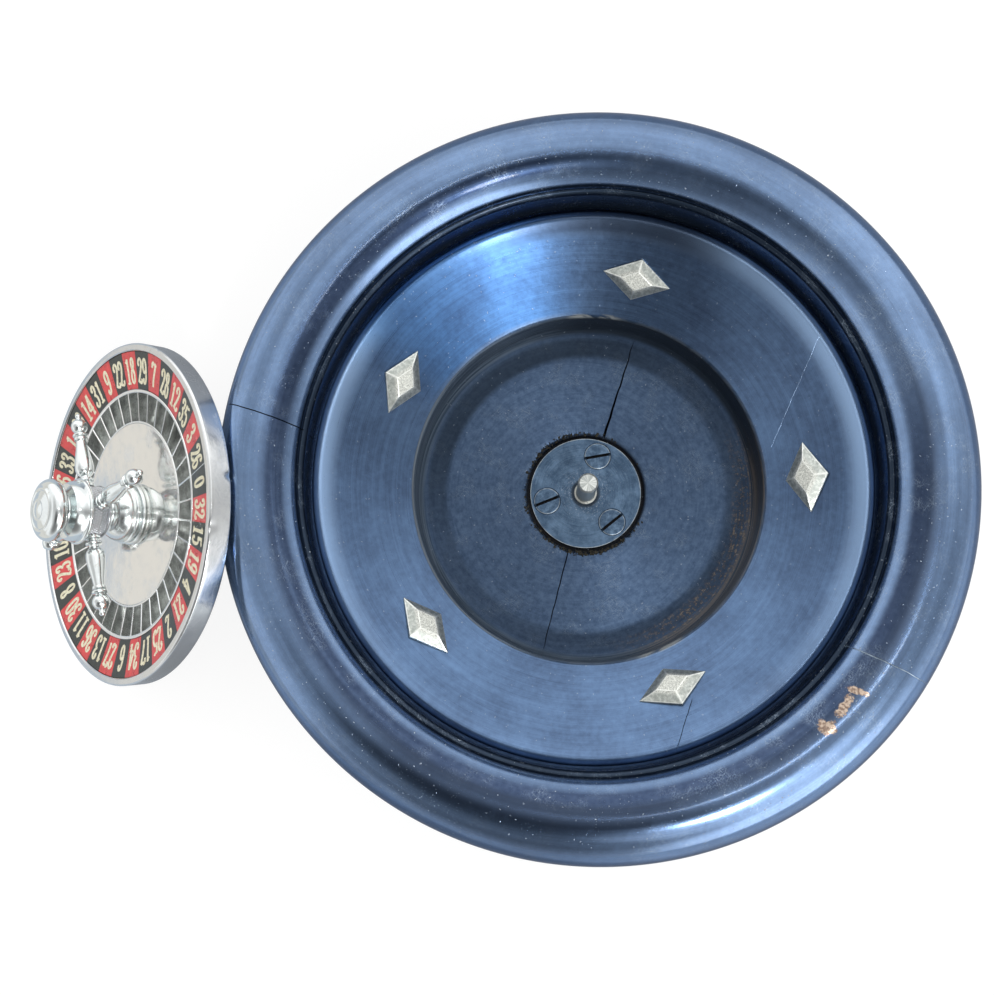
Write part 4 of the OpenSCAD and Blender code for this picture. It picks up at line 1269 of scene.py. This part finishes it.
def make_dish(mirror):
    flat_r = 10
    outline = [(TAIL_R, PLATFORM), (DISH_R - 0.05, PLATFORM), (DISH_R - 0.05, DISH_TOP - 0.08),
               (DISH_R - 0.15, DISH_TOP)]
    outline += [(r, DISH_CENTRE + (DISH_TOP - DISH_CENTRE) * ((r - flat_r) / (DISH_R - flat_r)) ** 2)
                for r in np.linspace(DISH_R - 0.6, flat_r + 0.3, 24)]
    outline += [(TAIL_R, DISH_CENTRE)]

    def waves(radius, angle, height):
        lift = np.vectorize(lambda r, a: wavy(r * cos(a), r * sin(a), 5.0))(radius * 0.11, angle)
        return radius, angle, height + 0.02 * lift * (height > -5)

    return head_piece("dish_mirror", outline, 256, mirror, "dish_mirror", "dish_plate", shape=waves)


def make_turret(nickel, plain):
    """Base, milled collar, cup and knob of the handle."""
    base = [(5.0, -10.8), (6.3, -10.8), (6.5, -10.6), (6.5, DISH_CENTRE)]
    base += [(9.3, DISH_CENTRE)] + arc(9.65, DISH_CENTRE + 0.65, 0.65, -90, 90, 10)
    base += [(9.0, DISH_CENTRE + 1.45), (8.75, DISH_CENTRE + 1.75), (8.85, DISH_CENTRE + 2.1)]
    base += arc(9.55, DISH_CENTRE + 2.7, 0.5, -85, 75, 10)
    base += arc(3.5, DISH_CENTRE + 3.1, 6.0, 2, 66, 22)
    base += eased([(5.55, 4.4), (5.5, 5.1, 0.4), (6.0, 5.75, 0.3), (7.2, 6.55, 0.2), (7.2, 6.62),
                   (6.2, 6.62)])[1:]
    base += [(6.2, 10.5), (4.6, 10.5), (4.6, -1.1), (5.0, -1.1)]
    head_piece("turret_stem", base, 200, nickel, "turret_nickel", "turret_base")

    collar = [(6.25, 6.64), (8.0, 6.64)] + arc(8.2, 7.1, 0.45, -80, 80, 8)
    milled_low, milled_high, teeth, lead = 7.6, 12.0, 54, 2.1
    collar += [(COLLAR_R - 0.1, s) for s in np.linspace(milled_low, milled_high, 34)]
    collar += arc(8.2, CUP_S - 0.5, 0.45, -80, 80, 8) + [(8.0, CUP_S - 0.03), (6.25, CUP_S - 0.03)]

    def milled(radius, angle, height):
        body = (height > milled_low + 0.05) & (height < milled_high - 0.05) & (radius > 7.5)
        a = np.abs(np.sin((angle * teeth + height * lead * 2) / 2))
        b = np.abs(np.sin((angle * teeth - height * lead * 2) / 2))
        fade = 0.55 + 0.45 * (height < 9.6)
        return radius - body * fade * 0.5 * (1 - np.minimum(a, b) ** 0.6), angle, height

    head_piece("milled_collar", collar, 864, plain, "turret_nickel", "turret_collar", 50, milled)

    cup = [(STUD_R, THRUST_S + 0.85), (4.6, THRUST_S + 0.85), (4.6, THRUST_S - 2.4), (6.2, THRUST_S - 2.4)]
    cup += [(6.2, CUP_S), (9.7, CUP_S)] + arc(9.9, CUP_S + 0.7, 0.7, -90, 80, 12)
    cup += arc(3.5, CUP_S + 1, 6.4, 8, 37, 14)
    cup += eased([(7.9, NECK_S - 0.2), (5.4, NECK_S + 0.1, 0.5), (5.2, NECK_S + 0.6, 0.3), (5.2, KNOB_S)])
    cup += [(STUD_R, KNOB_S)]
    head_piece("cup_turned", cup, 256, nickel, "turret_nickel", "turret_cup")

    top = KNOB_S + 6.6
    knob = [(STUD_R, KNOB_S), (6.2, KNOB_S), (7.2, KNOB_S)] + arc(7.2, KNOB_S + 2.6, 2.6, -88, 84, 22)
    knob += eased([(7.25, KNOB_S + 5.24), (6.9, KNOB_S + 5.66, 0.25), (6.35, KNOB_S + 5.66, 0.2),
                   (6.0, KNOB_S + 5.45, 0.2), (5.0, KNOB_S + 5.85), (3.9, KNOB_S + 6.1),
                   (3.5, KNOB_S + 6.25, 0.2), (3.0, KNOB_S + 6.2, 0.15), (2.7, KNOB_S + 6.1, 0.1),
                   (1.7, KNOB_S + 6.35)])[1:]
    knob += [(1.1, top - 0.12), (0.5, top - 0.02), (0, top)]
    knob = [(0, KNOB_S + 4.2), (STUD_R, KNOB_S + 4.2)] + knob
    head_piece("knob_turned", knob, 256, nickel, "turret_nickel", "turret_knob")


def make_arm(index, nickel):
    """A turned arm with a bulge, a flange, a ball and a tip. Its outline runs outward from the collar."""
    root, ball_r = COLLAR_R + 0.05, 2.6
    ball = ARM_REACH - 2 - ball_r
    slim = ball - 5
    outline = [(0, 6.45), (1.4, 6.45), (1.4, root)]
    outline += eased([(2.35, root, 0.15), (2.4, root + 0.9, 0.2), (1.8, root + 1.1, 0.15)])
    outline += [(1.8, root + 1.7)] + arc(1.9, root + 2.3, 0.6, -80, 80, 8)
    outline += eased([(1.55, root + 3.0, 0.2), (1.5, root + 3.6, 0.3)])
    outline += [(2.0, root + 4.2), (2.45, root + 4.8), (2.72, root + 5.4), (2.86, root + 6.1),
                (2.9, root + 6.8), (2.86, root + 7.8), (2.7, root + 9.2), (2.45, root + 10.8),
                (2.15, root + 12.4), (1.85, root + 14.0), (1.6, slim - 0.5), (1.5, slim)]
    outline += eased([(2.05, slim, 0.12), (2.1, slim + 0.8, 0.2), (1.5, slim + 1.0, 0.15)])
    outline += arc(1.9, slim + 1.8, 0.5, -70, 80, 8)
    outline += [(1.4, slim + 2.45), (1.25, slim + 2.8)]
    outline += arc(0, ball, ball_r, -58, 72, 22)
    outline += [(0.85, ball + 2.55), (0.8, ARM_REACH - 1.5)] + arc(0, ARM_REACH - 1, 1, 0, 80, 6)
    outline += [(0, ARM_REACH)]
    place = HEAD @ Matrix.Translation((0, 0, ARM_S * MM))
    place = place @ Matrix.Rotation(ARM_ANGLE + index * TAU / 4, 4, "Z") @ Matrix.Rotation(TAU / 4, 4, "Y")
    node = "arm_%d" % (index + 1)
    return dressed(turned(node + "_turned", outline, 128, place), nickel, "wheel_head", "arm_nickel", node)


# The studio

# Patches of the sky: azimuth, elevation and half width in degrees, and how much light they add or dim
SKY = ((178, 52, 34, "add", -0.5), (-28, 52, 32, "add", -0.55), (-108, 35, 48, "dim", 0.8),
       (-57, 8, 28, "add", 1.9), (-60, 48, 24, "add", 1.6), (-112, 68, 27, "dim", 0.8),
       (2, 26, 34, "dim", 0.5), (-155, 40, 30, "add", 0.1), (35, 35, 40, "add", 0.35),
       (90, 40, 30, "add", 0.7), (122, 18, 32, "add", 0.28))


def make_floor():
    """A white table that keeps the object's shadow and stays white to the camera."""
    half, below = 4.0, 0.0001
    mesh = bpy.data.meshes.new("table")
    corners = ((-half, -half, 0), (half, -half, 0), (half, half, 0), (-half, half, 0))
    mesh.from_pydata(corners, [], [(0, 1, 2, 3)])
    table = placed("table", mesh)
    table.location.z = -below
    sh, point = shader("table_white")
    x, _, _ = sh.parts(point)
    # To rays other than the camera's, the table is painted grey where x is above -120 mm, as the bowl's
    # shadow, and lighter toward -X, lightest beyond about x = -300 mm; toward +X-Y it is painted lighter, as
    # a pool of light.
    near = sh.mix(x.ramp(-120.0, -220.0), (0.32, 0.345, 0.385), (0.5, 0.56, 0.63))
    drift = sh.noise(point, 0.02, 2.0) * 14.0
    near = sh.mix((x + drift).ramp(-298.0, -310.0), near, (0.74, 0.72, 0.68))
    near = sh.mix(point.facing(0.5, -0.866).ramp(150.0, 240.0, 0.0, 0.8), near, (0.7, 0.74, 0.78))
    shown = sh.shown()
    cloth = sh.node("BsdfDiffuse", {"Color": sh.mix(shown, near, (0.86, 0.86, 0.85))})
    glow = sh.node("Emission", {"Color": (1.0, 1.0, 1.0), "Strength": 1.12})
    sh.node("OutputMaterial", {"Surface": sh.node("MixShader", {0: shown * 0.7, 1: cloth, 2: glow})})
    mesh.materials.append(sh.owner)


def toward(azimuth, elevation):
    """A direction from two angles in degrees."""
    a, e = radians(azimuth), radians(elevation)
    return Vector((cos(a) * cos(e), sin(a) * cos(e), sin(e)))


def make_world():
    """A plain sky with brighter and darker patches. To the camera it is white."""
    world = bpy.data.worlds.new("studio")
    bpy.context.scene.world = world
    sh = Shader("studio", world)
    way = sh.vector("NORMALIZE", sh.node("TexCoord", {}, "Generated"))
    level = 1.1
    for azimuth, elevation, wide, effect, share in SKY:
        patch = way.facing(*toward(azimuth, elevation)).ramp(cos(radians(wide)), 1.0) * share
        level = level * (1.0 - patch) if effect == "dim" else patch + level
    shown = sh.shown()
    back = sh.node("Background", {"Color": (1.0, 1.0, 1.0), "Strength": level * (1.0 - shown) + shown})
    sh.node("OutputWorld", {"Surface": back})


def lamp(name, azimuth, elevation, distance, size, power, length=None):
    """A round lamp, or a strip if it has a length, that faces the bowl."""
    data = bpy.data.lights.new(name, "AREA")
    data.shape = "RECTANGLE" if length else "DISK"
    data.size = size
    if length:
        data.size_y = length
    data.energy = power
    obj = placed(name, data)
    obj.location = toward(azimuth, elevation) * distance
    obj.rotation_euler = toward(azimuth, elevation).to_track_quat("Z", "Y").to_euler()


def make_camera():
    """The photograph's view: its focal length in pixels and its middle come from the fitted ellipses."""
    wide, tall = 994, 995
    focal, middle_x, middle_y = 951.2, 502.06, 501.05
    data = bpy.data.cameras.new("camera")
    data.sensor_fit = "HORIZONTAL"
    data.sensor_width = 36
    data.lens = focal / wide * data.sensor_width
    data.shift_x = (wide / 2 - middle_x) / wide
    data.shift_y = (middle_y - tall / 2) / wide
    data.clip_start = 0.01
    data.clip_end = 20
    turn = about_z(-3.494)
    tilt = Matrix.Rotation(0.051406, 4, "Y") @ Matrix.Rotation(0.120641, 4, "X")
    spot = Vector((-14.86, -42.26, 344.39)) * MM
    bpy.context.scene.camera = placed("camera", data, Matrix.Translation(spot) @ turn @ tilt)


def build_studio():
    bpy.context.scene.view_settings.view_transform = "Standard"
    make_camera()
    make_world()
    make_floor()
    lamp("key", -66, 56, 0.9, 0.12, 1.9)
    lamp("strip", 0, 81, 1.0, 0.02, 0.2, 0.2)


def build_bowl():
    make_bowl()
    make_rim()
    make_felt()
    make_crumbs()
    steel = screw_metal()
    make_screws(steel)
    dressed_node("spindle_nut", steel)
    dressed_node("bearing_plate", plate_metal())
    pin_steel = spindle_steel()
    make_spindle(pin_steel)
    dressed_node("thrust_ball", pin_steel)
    metal = stippled()
    for index in range(5):
        make_deflector(index, metal)


def build_head():
    make_pan(polished("pan_nickel", (0.72, 0.735, 0.74), 0.15, 0.4, 0.5, 0.03, band=True))
    grimy = dull_metal("pocket_metal", (0.34, 0.36, 0.34), (0.1, 0.105, 0.1), 0.36)
    make_number_ring(grimy)
    make_pocket_floor(grimy)
    make_cells("red_enamel", "red_cells", range(1, POCKETS, 2), (0.78, 0.05, 0.05), (0.6, 0.4, 0.34), 0.2)
    make_cells("dark_enamel", "black_cells", range(0, POCKETS, 2), (0.016, 0.024, 0.02), (0.12, 0.13, 0.12),
               0.12)
    make_numerals()
    fret = polished("fret_nickel", (0.85, 0.86, 0.85), 0.16, 0.5, 0.2, 0.02)
    make_zero_line(fret)
    make_frets(fret)
    make_dish(polished("dish_mirror", (0.86, 0.855, 0.83), 0.07, 0.2, 0.4, 0.02))
    nickel = polished("turret_nickel", (0.77, 0.81, 0.81), 0.11, 0.5, 0.3, 0.03)
    make_turret(nickel, polished("collar_nickel", (0.52, 0.54, 0.56), 0.2, 0.7, 0.2, 0.02))
    for index in range(4):
        make_arm(index, nickel)
    dressed_node("spindle_bush", dull_metal("bush_bronze", (0.62, 0.42, 0.18), (0.35, 0.22, 0.09), 0.28))
    steel = dull_metal("nut_steel", (0.5, 0.5, 0.49), (0.28, 0.27, 0.25), 0.3)
    for node in ("hub_nut", "hub_washer", "turret_stud", "thrust_plate"):
        dressed_node(node, steel)


build_studio()
build_bowl()
build_head()
